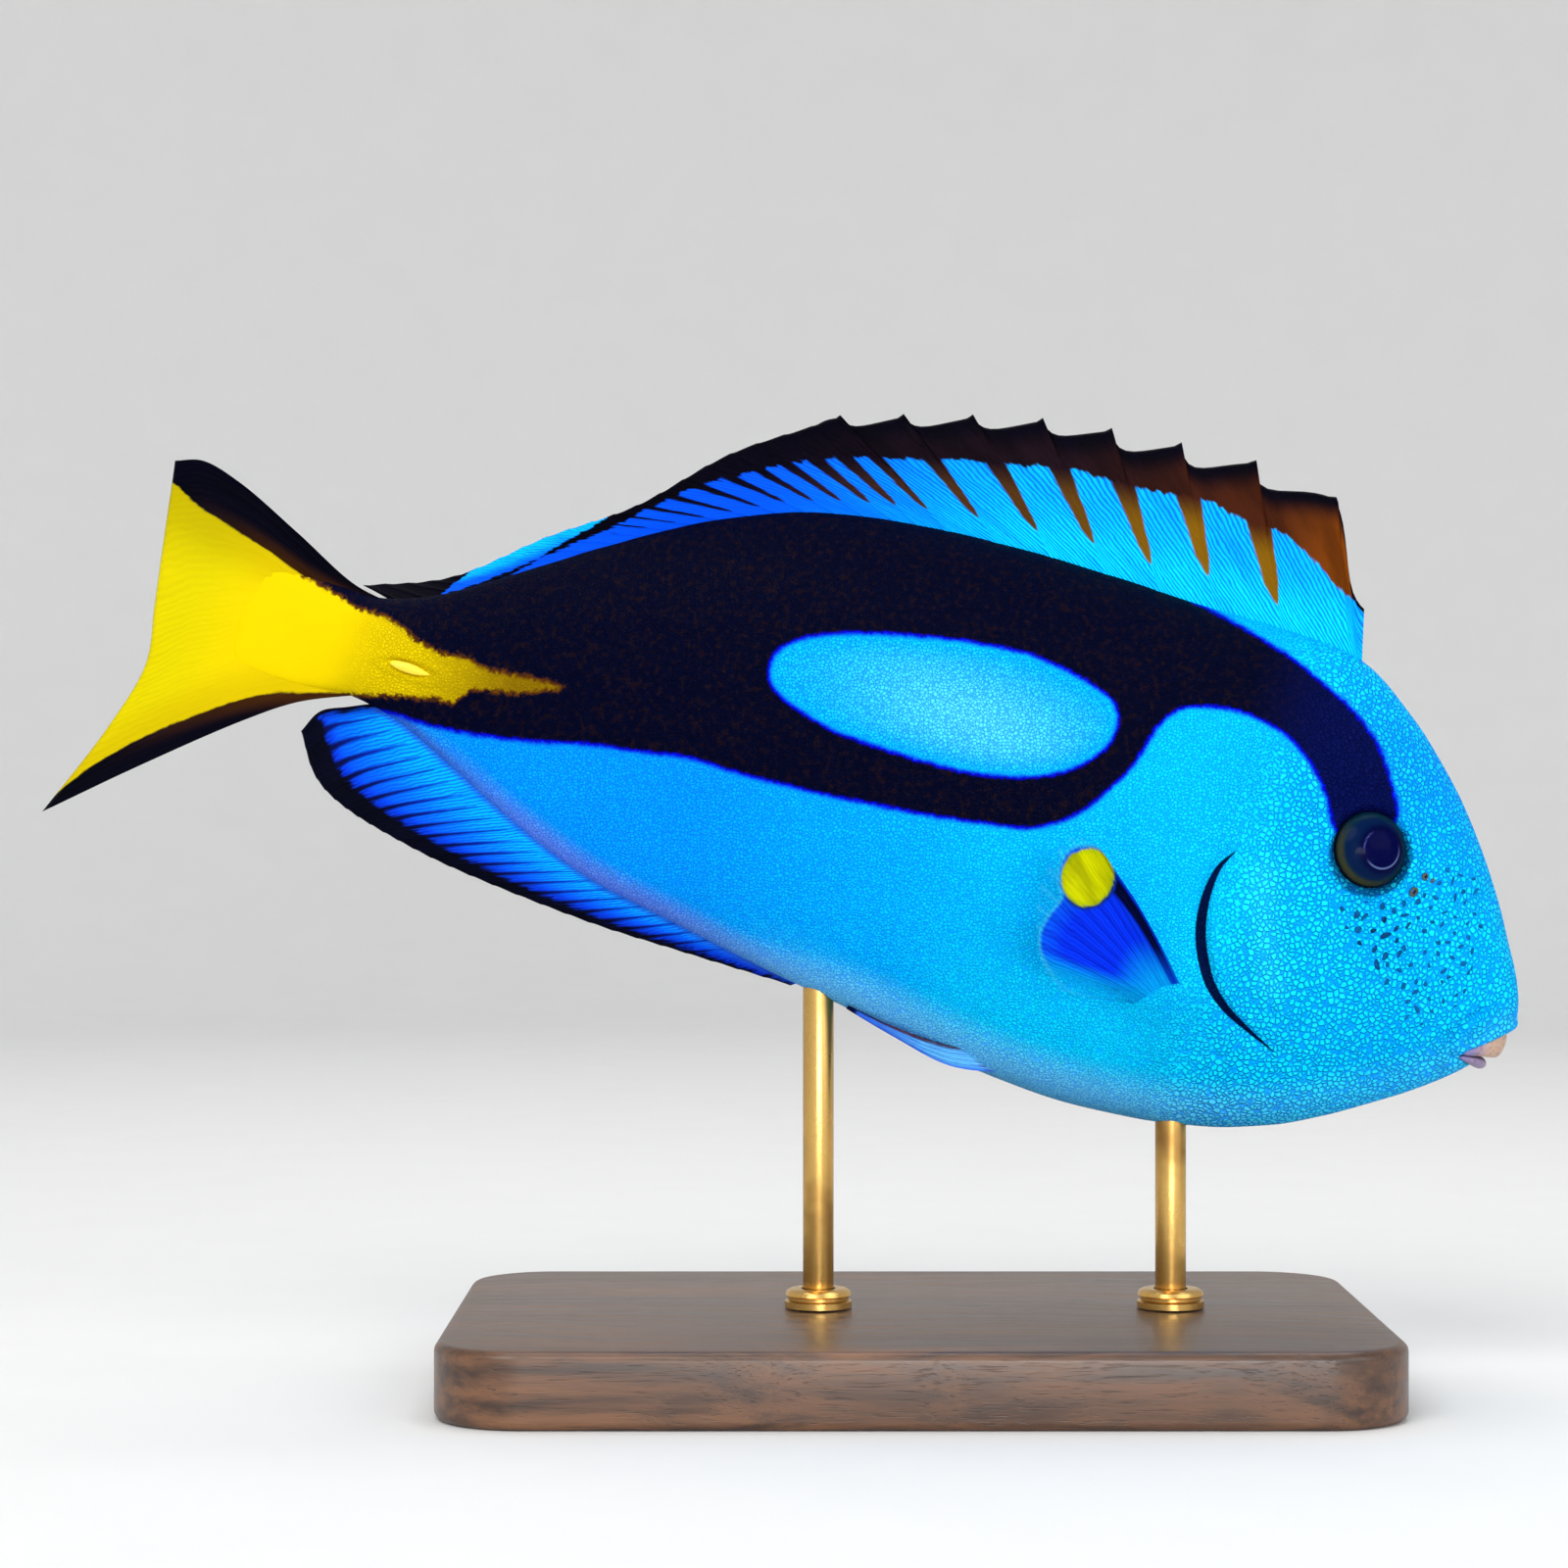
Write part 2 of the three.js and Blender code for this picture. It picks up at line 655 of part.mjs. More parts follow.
const evenRows = (count) => Array.from({ length: count + 1 }, (_, j) => j / count);

// Half the thickness at a place on a fin: a membrane that thickens to the root, with a ridge on every ray
function finThickness(rays, relief) {
  return (u, v) => {
    const ray = u * (rays - 1);
    const offRay = Math.abs(ray - Math.round(ray));
    const ridge = Math.max(0, 1 - offRay / BESIDE_RAY[0]);
    const height = typeof relief === "function" ? relief(Math.round(ray)) : relief;
    return MEMBRANE / 2 + (ROOT_THICKENING / 2) * Math.pow(1 - v, 3) + height * ridge * (1 - RIDGE_FADE * v);
  };
}

// The dip of the membrane between two ray tips, 1 where it is deepest, just ahead of the rear tip
const dipTo = (s) => s * (1 - Math.pow(s, SCALLOP_POWER));
const scallopShape = (s) => dipTo(s) / dipTo(Math.pow(1 / (SCALLOP_POWER + 1), 1 / SCALLOP_POWER));

function dorsalFin() {
  const rays = DORSAL.spines + DORSAL.softRays;
  const last = rays - 1;
  const footX = curveThrough(DORSAL.feet);
  const tipX = curveThrough(DORSAL.tips.map(([k, x]) => [k, x]));
  const tipZ = curveThrough(DORSAL.tips.map(([k, , z]) => [k, z]));
  const root = (u) => onMiddle([footX(u * last), backHeight(footX(u * last)) - ROOT_SUNK]);
  const margin = (u) => {
    const ray = u * last;
    const gap = Math.min(Math.floor(ray), last - 1);
    const within = ray - gap;
    // The first membrane is deepest behind its front spine.
    const dip = (DORSAL.scallops[gap] ?? DORSAL.softScallop) * scallopShape(gap === 0 ? 1 - within : within);
    const lean = THREE.MathUtils.smoothstep(u, DORSAL.leanStart, 1) * DORSAL.lean;
    const chord = new THREE.Vector2(tipX(gap) - tipX(gap + 1), tipZ(gap) - tipZ(gap + 1)).normalize();
    return new THREE.Vector3(tipX(ray) + dip * chord.y, lean, tipZ(ray) - dip * chord.x);
  };
  const surface = finSurface(root, margin, straight(root(0), margin(0)), straight(root(1), margin(1)));
  const relief = (ray) => (ray < DORSAL.spines ? DORSAL.spineRelief : DORSAL.rayRelief);
  const us = rayColumns(rays, (ray) => (ray < DORSAL.spines - 1 ? BESIDE_SPINE : BESIDE_RAY));
  return finGeometry(surface, us, evenRows(DORSAL.rows), finThickness(rays, relief));
}

function analFin() {
  const rays = ANAL.spines + ANAL.softRays;
  const last = rays - 1;
  const footX = curveThrough(ANAL.feet);
  const tipX = curveThrough(ANAL.tips.map(([k, x]) => [k, x]));
  const tipZ = curveThrough(ANAL.tips.map(([k, , z]) => [k, z]));
  const root = (u) => onMiddle([footX(u * last), bellyHeight(footX(u * last)) + ROOT_SUNK]);
  const margin = (u) => {
    const ray = u * last;
    const dip = ANAL.scallop * scallopShape(ray - Math.min(Math.floor(ray), last - 1));
    return new THREE.Vector3(tipX(ray), ANAL.lean * u, tipZ(ray) + dip);
  };
  const rear = curved([root(1), ...ANAL.rearEdge.map(onMiddle), margin(1)]);
  const surface = finSurface(root, margin, straight(root(0), margin(0)), rear);
  const us = rayColumns(rays, () => BESIDE_RAY);
  return finGeometry(surface, us, evenRows(ANAL.rows), finThickness(rays, ANAL.relief));
}

function caudalFin() {
  const [upper, lower, trailing] = [CAUDAL.upperEdge, CAUDAL.lowerEdge, CAUDAL.trailingEdge].map((edge) =>
    curved(edge.map(onMiddle)),
  );
  const surface = finSurface(straight(upper(0), lower(0)), trailing, upper, lower);
  const us = rayColumns(CAUDAL.rays, () => BESIDE_RAY);
  return finGeometry(surface, us, evenRows(CAUDAL.rows), finThickness(CAUDAL.rays, CAUDAL.relief));
}

const onSide = (side) => ([x, y, z]) => new THREE.Vector3(x, side * y, z);

function pectoralFin(side) {
  const place = onSide(side);
  const [leading, trailing, margin] = [PECTORAL.leadingEdge, PECTORAL.trailingEdge, PECTORAL.margin].map((edge) =>
    curved(edge.map(place)),
  );
  const root = straight(...PECTORAL.root.map(place));
  const us = rayColumns(PECTORAL.rays, () => [0.5]);
  const thickness = finThickness(PECTORAL.rays, PECTORAL.relief);
  return finGeometry(finSurface(root, margin, leading, trailing), us, evenRows(PECTORAL.rows), thickness);
}

function pelvicFin(side) {
  const place = onSide(side);
  const [lower, upper] = [PELVIC.lowerEdge, PELVIC.upperEdge].map((edge) => curved(edge.map(place)));
  const root = straight(...PELVIC.root.map(place));
  const surface = finSurface(root, straight(lower(1), upper(1)), lower, upper);
  const us = rayColumns(PELVIC.rays, () => BESIDE_RAY);
  return finGeometry(surface, us, evenRows(PELVIC.rows), finThickness(PELVIC.rays, PELVIC.relief));
}

const trimmedToBody = (fin) => geometryOf(solidOf(fin).subtract(bodyWithGap).simplify(SHORTEST_EDGE));

// The swimming bend: the whole tail end moves sideways, and the tail fin twists about its axis.
function bent(geometry) {
  const { position } = geometry.attributes;
  for (let i = 0; i < position.count; i++) {
    const [x, z] = [position.getX(i), position.getZ(i)];
    const along = Math.max(0, (SWING_START_X - x) / (SWING_START_X - SWING_END_X));
    const twist = TAIL_TWIST * Math.max(0, x / SWING_END_X) * (z - TAIL_AXIS_Z);
    position.setY(i, position.getY(i) + SWING * along * along + twist);
  }
  geometry.computeVertexNormals();
  return geometry;
}

// Display stand

function baseGeometry() {
  const { length, width, thickness, corner, bevel } = BASE;
  const [x, y] = [length / 2 - bevel, width / 2 - bevel];
  const r = corner - bevel;
  const outline = new THREE.Shape()
    .moveTo(-x + r, -y)
    .lineTo(x - r, -y)
    .absarc(x - r, -y + r, r, -Math.PI / 2, 0)
    .lineTo(x, y - r)
    .absarc(x - r, y - r, r, 0, Math.PI / 2)
    .lineTo(-x + r, y)
    .absarc(-x + r, y - r, r, Math.PI / 2, Math.PI)
    .lineTo(-x, -y + r)
    .absarc(-x + r, -y + r, r, Math.PI, 1.5 * Math.PI);
  const options = { depth: thickness - 2 * bevel, bevelThickness: bevel, bevelSize: bevel, bevelSegments: 2 };
  return new THREE.ExtrudeGeometry(outline, { ...options, curveSegments: 4 }).translate(0, 0, bevel);
}

const upright = (radius, height, sides) =>
  new THREE.CylinderGeometry(radius, radius, height, sides).rotateX(Math.PI / 2).translate(0, 0, height / 2);

// A rod that stands in its collar and is cut off where it meets the belly
function rodGeometry({ x, radius }, fishMatrix) {
  const foot = BASE.thickness + TOUCH_GAP;
  const under = TAIL_ROOT.z - foot + ROD_REACH;
  const rod = upright(radius, under, ROD_SIDES).translate(x, 0, foot);
  const fish = solidOf(grown(BODY, TOUCH_GAP).applyMatrix4(fishMatrix));
  const pieces = solidOf(rod).subtract(fish).decompose();
  const lowest = pieces.sort((a, b) => a.boundingBox().min[2] - b.boundingBox().min[2])[0];
  return geometryOf(lowest);
}

function collarGeometry(rodRadius) {
  const [inner, outer] = [rodRadius + TOUCH_GAP, COLLAR.radius];
  const { height, chamfer } = COLLAR;
  const profile = [
    [inner, 0],
    [outer, 0],
    [outer, height - chamfer],
    [outer - chamfer, height],
    [inner, height],
    [inner, 0],
  ].map(([r, h]) => new THREE.Vector2(r, h));
  return new THREE.LatheGeometry(profile, ROD_SIDES).rotateX(Math.PI / 2);
}

// Assembly

const model = new THREE.Group();
const fish = new THREE.Group();
fish.position.set(TAIL_ROOT.x, 0, TAIL_ROOT.z);
fish.rotation.y = THREE.MathUtils.degToRad(PITCH_DEG);
fish.updateMatrixWorld(true);
model.add(fish);

function add(group, name, geometry, material) {
  const mesh = new THREE.Mesh(geometry, material);
  mesh.name = name;
  group.add(mesh);
  return mesh;
}

const { head, jaw, gillCoverRight, gillCoverLeft, slits } = headParts();
add(fish, "head", geometryOf(head), MATERIALS.blueSkin);
add(fish, "lower_jaw", geometryOf(jaw), MATERIALS.blueSkin);
add(fish, "gill_cover_right", geometryOf(gillCoverRight), MATERIALS.blueSkin);
add(fish, "gill_cover_left", geometryOf(gillCoverLeft), MATERIALS.blueSkin);
add(fish, "trunk", bent(geometryOf(trunk(slits))), MATERIALS.blueSkin);
add(fish, "tail_stalk", bent(geometryOf(tailStalk())), MATERIALS.yellowSkin);
add(fish, "dorsal_fin", bent(trimmedToBody(dorsalFin())), MATERIALS.blueFin);
add(fish, "anal_fin", bent(trimmedToBody(analFin())), MATERIALS.blueFin);
add(fish, "caudal_fin", bent(trimmedToBody(caudalFin())), MATERIALS.yellowFin);

for (const [name, side] of [["right", -1], ["left", 1]]) {
  add(fish, `pectoral_fin_${name}`, trimmedToBody(pectoralFin(side)), MATERIALS.blueFin);
  add(fish, `pelvic_fin_${name}`, trimmedToBody(pelvicFin(side)), MATERIALS.blueFin);
  add(fish, `tail_spine_${name}`, bent(tailSpineGeometry(side)), MATERIALS.bone);
  const eye = add(fish, `eye_${name}`, eyeGeometry(), MATERIALS.eye);
  const { out, centre } = eyePlace(side);
  eye.position.copy(centre);
  eye.quaternion.copy(turnTo(out));
}

add(model, "stand_base", baseGeometry(), MATERIALS.wood).position.x = BASE.centreX;
for (const rod of RODS) {
  add(model, `stand_rod_${rod.name}`, rodGeometry(rod, fish.matrixWorld), MATERIALS.brass);
  const collar = add(model, `stand_collar_${rod.name}`, collarGeometry(rod.radius), MATERIALS.brass);
  collar.position.set(rod.x, 0, BASE.thickness + TOUCH_GAP);
}

export default model;
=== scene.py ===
"""Looks of a life-size display model of a regal blue tang on a walnut base with two brass rods.

Shapes are drawn in the fish's own frame, in millimetres: x is the distance ahead of the tail root, z the height
over the line from the tail root to the mouth, and y is 0 on the middle plane. The pose bends and tilts them and
sets them in the row frame, in metres. The markings are lines on the side view, in the same x and z, as they are
seen from the camera, and both sides of the fish carry them alike.
"""

import logging
import math
from collections.abc import Iterator, Sequence
from contextlib import contextmanager
from dataclasses import dataclass, field
from enum import Enum
from typing import ClassVar

import bpy
import numpy as np
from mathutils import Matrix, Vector

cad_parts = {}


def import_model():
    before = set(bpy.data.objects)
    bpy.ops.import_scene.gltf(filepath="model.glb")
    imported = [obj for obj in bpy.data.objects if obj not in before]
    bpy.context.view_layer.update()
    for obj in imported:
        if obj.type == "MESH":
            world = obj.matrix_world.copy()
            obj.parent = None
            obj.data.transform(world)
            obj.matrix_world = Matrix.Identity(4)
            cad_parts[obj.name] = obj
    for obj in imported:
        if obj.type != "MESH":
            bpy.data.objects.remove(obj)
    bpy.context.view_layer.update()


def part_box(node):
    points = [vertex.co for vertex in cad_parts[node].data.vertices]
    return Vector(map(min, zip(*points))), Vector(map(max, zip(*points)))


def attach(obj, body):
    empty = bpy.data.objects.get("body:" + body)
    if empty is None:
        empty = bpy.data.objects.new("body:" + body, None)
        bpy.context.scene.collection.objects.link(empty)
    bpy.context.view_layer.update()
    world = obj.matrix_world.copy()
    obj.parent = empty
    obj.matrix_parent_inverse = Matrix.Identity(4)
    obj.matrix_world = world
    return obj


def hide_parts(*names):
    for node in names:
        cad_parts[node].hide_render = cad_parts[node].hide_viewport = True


LOG = logging.getLogger("regal_blue_tang")
MM = 0.001
Points = Sequence[Sequence[float]]
Colour = tuple[float, float, float, float]


def paint(red: int, green: int, blue: int) -> Colour:
    """Turns a display colour, 0 to 255, into linear RGBA by the sRGB curve.

    Args:
        red: the red channel.
        green: the green channel.
        blue: the blue channel.

    Returns:
        The linear colour with full alpha.
    """
    shares = (red / 255, green / 255, blue / 255)
    linear = [share / 12.92 if share <= 0.04045 else ((share + 0.055) / 1.055) ** 2.4 for share in shares]
    return (linear[0], linear[1], linear[2], 1.0)


def soft_step(low: float, high: float, value: np.ndarray) -> np.ndarray:
    """Rises smoothly from 0 at low to 1 at high.

    Args:
        low: where the step starts.
        high: where it ends; it may be below low for a falling step.
        value: the numbers to step.

    Returns:
        The step at each number.
    """
    share = np.clip((value - low) / (high - low), 0, 1)
    return share * share * (3 - 2 * share)


def bell(value: np.ndarray, width: float) -> np.ndarray:
    """A bump of height 1 at 0 that has fallen to 0.37 at width."""
    return np.exp(-((value / width) ** 2))


def curve_through(knots: Points, at: np.ndarray) -> np.ndarray:
    """A smooth curve through [position, value] knots, with slopes taken from each knot's neighbours.

    Args:
        knots: the knots, in rising order of position.
        at: the positions to read.

    Returns:
        The values there.
    """
    position, value = np.asarray(knots, float).T
    last = len(position) - 1
    before = np.maximum(np.arange(last + 1) - 1, 0)
    after = np.minimum(np.arange(last + 1) + 1, last)
    slope = (value[after] - value[before]) / (position[after] - position[before])
    at = np.asarray(at, float)
    i = np.clip(np.searchsorted(position, at), 1, last)
    span = position[i] - position[i - 1]
    t = np.clip((at - position[i - 1]) / span, 0, 1)
    rise, fall = 3 * t**2 - 2 * t**3, 1 - 3 * t**2 + 2 * t**3
    bend = (t**3 - 2 * t**2 + t) * slope[i - 1] + (t**3 - t**2) * slope[i]
    return fall * value[i - 1] + rise * value[i] + span * bend


def column_at(rows: Points, column: int, at: np.ndarray) -> np.ndarray:
    """A smooth curve through one column of rows that each start with their position."""
    return curve_through([(row[0], row[column]) for row in rows], at)


def smooth_curve(points: Points, at: np.ndarray) -> np.ndarray:
    """A centripetal curve through points, from 0 at the first to 1 at the last.

    Args:
        points: the points, each of two or three numbers.
        at: where to read the curve.

    Returns:
        One point for each value of at.
    """
    known = np.asarray(points, float)
    line = np.vstack([2 * known[0] - known[1], known, 2 * known[-1] - known[-2]])
    place = np.clip(np.asarray(at, float), 0, 1) * (len(known) - 1)
    i = np.minimum(place.astype(int), len(known) - 2)
    w = (place - i)[:, None]
    p = [line[i + n] for n in range(4)]
    gap = [np.linalg.norm(p[n + 1] - p[n], axis=1)[:, None] ** 0.5 for n in range(3)]
    leave = ((p[1] - p[0]) / gap[0] - (p[2] - p[0]) / (gap[0] + gap[1]) + (p[2] - p[1]) / gap[1]) * gap[1]
    arrive = ((p[2] - p[1]) / gap[1] - (p[3] - p[1]) / (gap[1] + gap[2]) + (p[3] - p[2]) / gap[2]) * gap[1]
    step = p[2] - p[1]
    return p[1] + leave * w + (3 * step - 2 * leave - arrive) * w**2 + (leave + arrive - 2 * step) * w**3


def smooth_line(points: Points, count: int = 120, closed: bool = False) -> np.ndarray:
    """Points along the smooth curve through a few points.

    Args:
        points: the points.
        count: how many to return.
        closed: whether the curve runs back to its start.

    Returns:
        An array of points.
    """
    if not closed:
        return smooth_curve(points, np.linspace(0, 1, count))
    wrapped = [points[-2], points[-1], *points, points[0], points[1]]
    spare = 2 / (len(wrapped) - 1)
    return smooth_curve(wrapped, np.linspace(spare, 1 - spare / 2, count))


def distance_to(points: np.ndarray, line: np.ndarray) -> np.ndarray:
    """How far each point is from a line of straight lengths.

    Args:
        points: an array of [x, z].
        line: the line's own points.

    Returns:
        One distance for each point.
    """
    best = np.full(len(points), np.inf)
    for start, end in zip(line[:-1], line[1:]):
        along = end - start
        share = np.clip((points - start) @ along / max(along @ along, 1e-12), 0, 1)
        gap = points - start - share[:, None] * along
        best = np.minimum(best, np.einsum("ij,ij->i", gap, gap))
    return np.sqrt(best)


def depth_inside(points: np.ndarray, outline: np.ndarray) -> np.ndarray:
    """How far each point is inside a closed outline, below 0 outside it.

    Args:
        points: an array of [x, z].
        outline: the outline's points, the last joined to the first.

    Returns:
        One signed distance for each point.
    """
    ring = np.vstack([outline, outline[:1]])
    inside = np.zeros(len(points), bool)
    x, z = points.T
    for (ax, az), (bx, bz) in zip(ring[:-1], ring[1:]):
        if az != bz:
            crosses = (az > z) != (bz > z)
            inside ^= crosses & (x < (bx - ax) * (z - az) / (bz - az) + ax)
    far = distance_to(points, ring)
    return np.where(inside, far, -far)


def along_line(points: np.ndarray, line: np.ndarray) -> np.ndarray:
    """The share of a line's points that lies before the point nearest to each place."""
    gaps = np.linalg.norm(points[:, None, :] - line[None, :, :], axis=2)
    return np.argmin(gaps, axis=1) / (len(line) - 1)


# Form of the fish


@dataclass(frozen=True)
class Pose:
    """How the fish hangs: nose down, its tail swung to its left and twisted.

    Attributes:
        root_x, root_z: the tail root in the row frame.
        pitch: how far the nose points down, in radians.
        swing_start_x, swing_end_x: the stretch over which the tail end swings.
        swing: how far it has swung at swing_end_x.
        twist, twist_axis_z: the tail fin's lean for each millimetre over its axis.
        camera: the camera's place in the row frame, which looks along +Y.
    """

    root_x: float = -67.9
    root_z: float = 120.0
    pitch: float = math.radians(18)
    swing_start_x: float = 75.0
    swing_end_x: float = -40.0
    swing: float = 10.0
    twist: float = 0.15
    twist_axis_z: float = -8.0
    camera: tuple[float, float, float] = (0.9, -640.0, 97.6)

    def place(self, points: np.ndarray) -> np.ndarray:
        """Bends and tilts points of the fish's frame.

        Args:
            points: an array of [x, y, z] in the fish's frame.

        Returns:
            The same points in the row frame, in millimetres.
        """
        x, y, z = np.asarray(points, float).T
        along = np.maximum(0, (self.swing_start_x - x) / (self.swing_start_x - self.swing_end_x))
        lean = self.twist * np.maximum(0, x / self.swing_end_x) * (z - self.twist_axis_z)
        c, s = math.cos(self.pitch), math.sin(self.pitch)
        return np.column_stack(
            [self.root_x + x * c + z * s, y + self.swing * along**2 + lean, self.root_z - x * s + z * c]
        )

    def seen(self, points: np.ndarray) -> np.ndarray:
        """Where the camera sees points, on the side view that the markings are drawn on.

        Args:
            points: an array of [x, y, z] in the fish's frame; both sides count as the near one.

        Returns:
            An array of [x, z] on the side view.
        """
        near = np.array(points, float)
        near[:, 1] = -np.abs(near[:, 1])
        x, y, z = self.place(near).T
        eye_x, eye_y, eye_z = self.camera
        share = eye_y / (eye_y - y)
        dx = eye_x + (x - eye_x) * share - self.root_x
        dz = eye_z + (z - eye_z) * share - self.root_z
        c, s = math.cos(self.pitch), math.sin(self.pitch)
        return np.column_stack([dx * c - dz * s, dx * s + dz * c])


@dataclass(frozen=True)
class BodyForm:
    """The body's outlines and widths, from the snout to the tail.

    Attributes:
        snout_x: the tip of the snout.
        stations: [x, back, belly, half width] at each station.
        back_fullness, belly_fullness: powers of the section's outline; 1 is an ellipse and 2 a rhomb.
    """

    snout_x: float = 198.0
    stations: Points = (
        (198, -1.2, -1.2, 0),
        (196, 6.3, -4.8, 4.2),
        (192, 13.2, -10.1, 6.6),
        (185, 23.6, -16.0, 9.0),
        (177, 33.0, -21.6, 11.1),
        (167, 41.7, -27.5, 13.2),
        (156, 48.2, -31.7, 14.9),
        (143, 49.3, -34.3, 16.1),
        (128, 48.8, -35.3, 16.6),
        (112, 48.9, -34.3, 16.4),
        (95, 48.3, -31.9, 15.4),
        (78, 46.7, -29.6, 13.8),
        (62, 43.3, -27.1, 11.8),
        (47, 36.8, -24.6, 9.7),
        (33, 28.2, -20.0, 7.7),
        (20, 19.2, -14.4, 6.1),
        (9, 12.0, -9.9, 5.2),
        (0, 8.6, -8.2, 4.2),
        (-5, 8.5, -8.8, 2.75),
        (-10, 8.6, -9.2, 1.6),
        (-16, 8.4, -9.0, 0.8),
        (-23, 7.6, -8.2, 0.3),
    )
    back_fullness: float = 1.2
    belly_fullness: float = 1.02

    def _station(self, column: int, x: np.ndarray) -> np.ndarray:
        """One column of the stations at x, as a smooth curve with a round nose."""
        knots = [(math.sqrt(self.snout_x - row[0]), row[column]) for row in self.stations]
        return curve_through(knots, np.sqrt(np.maximum(self.snout_x - np.asarray(x, float), 0)))

    def back(self, x: np.ndarray) -> np.ndarray:
        """Height of the back at x."""
        return self._station(1, x)

    def belly(self, x: np.ndarray) -> np.ndarray:
        """Height of the belly at x."""
        return self._station(2, x)

    def half_width(self, x: np.ndarray) -> np.ndarray:
        """Half the greatest width at x."""
        return self._station(3, x)

    def side(self, x: np.ndarray, z: np.ndarray) -> np.ndarray:
        """Half the body's width at a point of the side view.

        Args:
            x: how far ahead of the tail root.
            z: the height there.

        Returns:
            The distance from the middle plane to the skin.
        """
        top, bottom = self.back(x), self.belly(x)
        rise = np.clip((z - (top + bottom) / 2) / np.maximum((top - bottom) / 2, 1e-6), -1, 1)
        fullness = np.where(rise > 0, self.back_fullness, self.belly_fullness)
        return self.half_width(x) * (1 - rise**2) ** (fullness / 2)

    def section(self, x: np.ndarray, angle: np.ndarray) -> np.ndarray:
        """Points of the body's sections.

        Args:
            x: the station of each point.
            angle: its turn round the section, 0 at the left side and a quarter turn at the back.

        Returns:
            An array of [x, y, z].
        """
        top, bottom = self.back(x), self.belly(x)
        rise = np.sin(angle)
        fullness = np.where(rise > 0, self.back_fullness, self.belly_fullness)
        across = np.sign(np.cos(angle)) * np.abs(np.cos(angle)) ** fullness
        return np.column_stack([x, self.half_width(x) * across, (top + bottom) / 2 + (top - bottom) / 2 * rise])

    def outward(self, x: float, z: float, side: int) -> Vector:
        """The direction that the skin faces at a point of one side.

        Args:
            x: how far ahead of the tail root.
            z: the height there.
            side: -1 for the right side and 1 for the left.

        Returns:
            A unit vector in the fish's frame.
        """
        step = 0.5
        around = np.array([(x + step, z), (x - step, z), (x, z + step), (x, z - step)])
        ahead, behind, above, below = self.side(*around.T)
        return Vector((behind - ahead, side * 2 * step, below - above)).normalized()

    def half_at(self, x: float, z: float) -> float:
        """Half the body's width at one point of the side view."""
        return float(self.side(np.array([x]), np.array([z]))[0])


POSE = Pose()
BODY = BodyForm()
EYE_PLACE = (165.1, 19.1)
TAIL_SPINE_PLACE = (8.6, -1.0)


class Side(Enum):
    """A side of the fish, with the sign of its y."""

    RIGHT = -1
    LEFT = 1

    @property
    def word(self) -> str:
        """The side's name in the names of pieces."""
        return self.name.lower()


# Work on meshes


class Kind(Enum):
    """What a mesh attribute holds: Blender's type and the name of its value."""

    NUMBER = ("FLOAT", "value")
    VECTOR = ("FLOAT_VECTOR", "vector")
    COLOUR = ("FLOAT_COLOR", "color")


def newest(name: str) -> bpy.types.Object:
    """Names the piece that an operator has just added, and returns it."""
    piece = bpy.context.active_object
    piece.name = piece.data.name = name
    return piece


def deselect() -> None:
    """Leaves nothing selected."""
    bpy.ops.object.select_all(action="DESELECT")


def new_ball(name: str, segments: int, rings: int) -> bpy.types.Object:
    """Adds a ball of radius 1, which is moulded later."""
    deselect()
    bpy.ops.mesh.primitive_uv_sphere_add(segments=segments, ring_count=rings, radius=1.0)
    return newest(name)


def join(pieces: Sequence[bpy.types.Object], name: str) -> bpy.types.Object:
    """Joins pieces into one.

    Args:
        pieces: the pieces.
        name: the name of the one.

    Returns:
        The joined piece.
    """
    deselect()
    for piece in pieces:
        piece.select_set(True)
    bpy.context.view_layer.objects.active = pieces[0]
    bpy.ops.object.join()
    return newest(name)


@contextmanager
def editing(piece: bpy.types.Object) -> Iterator[None]:
    """Edit mode on one piece, with all of it selected.

    Args:
        piece: the piece to edit.

    Yields:
        Nothing, while edit mode lasts.
    """
    deselect()
    piece.select_set(True)
    bpy.context.view_layer.objects.active = piece
    bpy.ops.object.mode_set(mode="EDIT")
    bpy.ops.mesh.select_all(action="SELECT")
    yield
    bpy.ops.object.mode_set(mode="OBJECT")


def points_of(piece: bpy.types.Object) -> np.ndarray:
    """A piece's vertices as an array of [x, y, z]."""
    flat = np.zeros(len(piece.data.vertices) * 3)
    piece.data.vertices.foreach_get("co", flat)
    return flat.reshape(-1, 3)


def mould(piece: bpy.types.Object, points: np.ndarray) -> None:
    """Moves a piece's vertices to new places.

    Args:
        piece: the piece.
        points: one [x, y, z] for each vertex.
    """
    piece.data.vertices.foreach_set("co", np.asarray(points, np.float32).ravel())
    piece.data.update()


def normals_of(piece: bpy.types.Object) -> np.ndarray:
    """The outward direction at each of a piece's vertices."""
    flat = np.zeros(len(piece.data.vertices) * 3)
    piece.data.vertex_normals.foreach_get("vector", flat)
    return flat.reshape(-1, 3)


def face_outwards(piece: bpy.types.Object) -> None:
    """Turns all faces of a closed piece outwards and shades them smooth."""
    with editing(piece):
        bpy.ops.mesh.normals_make_consistent(inside=False)
    bpy.ops.object.shade_smooth()


def set_in_pose(piece: bpy.types.Object, points: np.ndarray) -> bpy.types.Object:
    """Moves a piece's vertices to their places on the posed fish.

    Args:
        piece: the piece.
        points: one [x, y, z] for each vertex, in the fish's frame.

    Returns:
        The piece.
    """
    mould(piece, POSE.place(points) * MM)
    face_outwards(piece)
    return piece


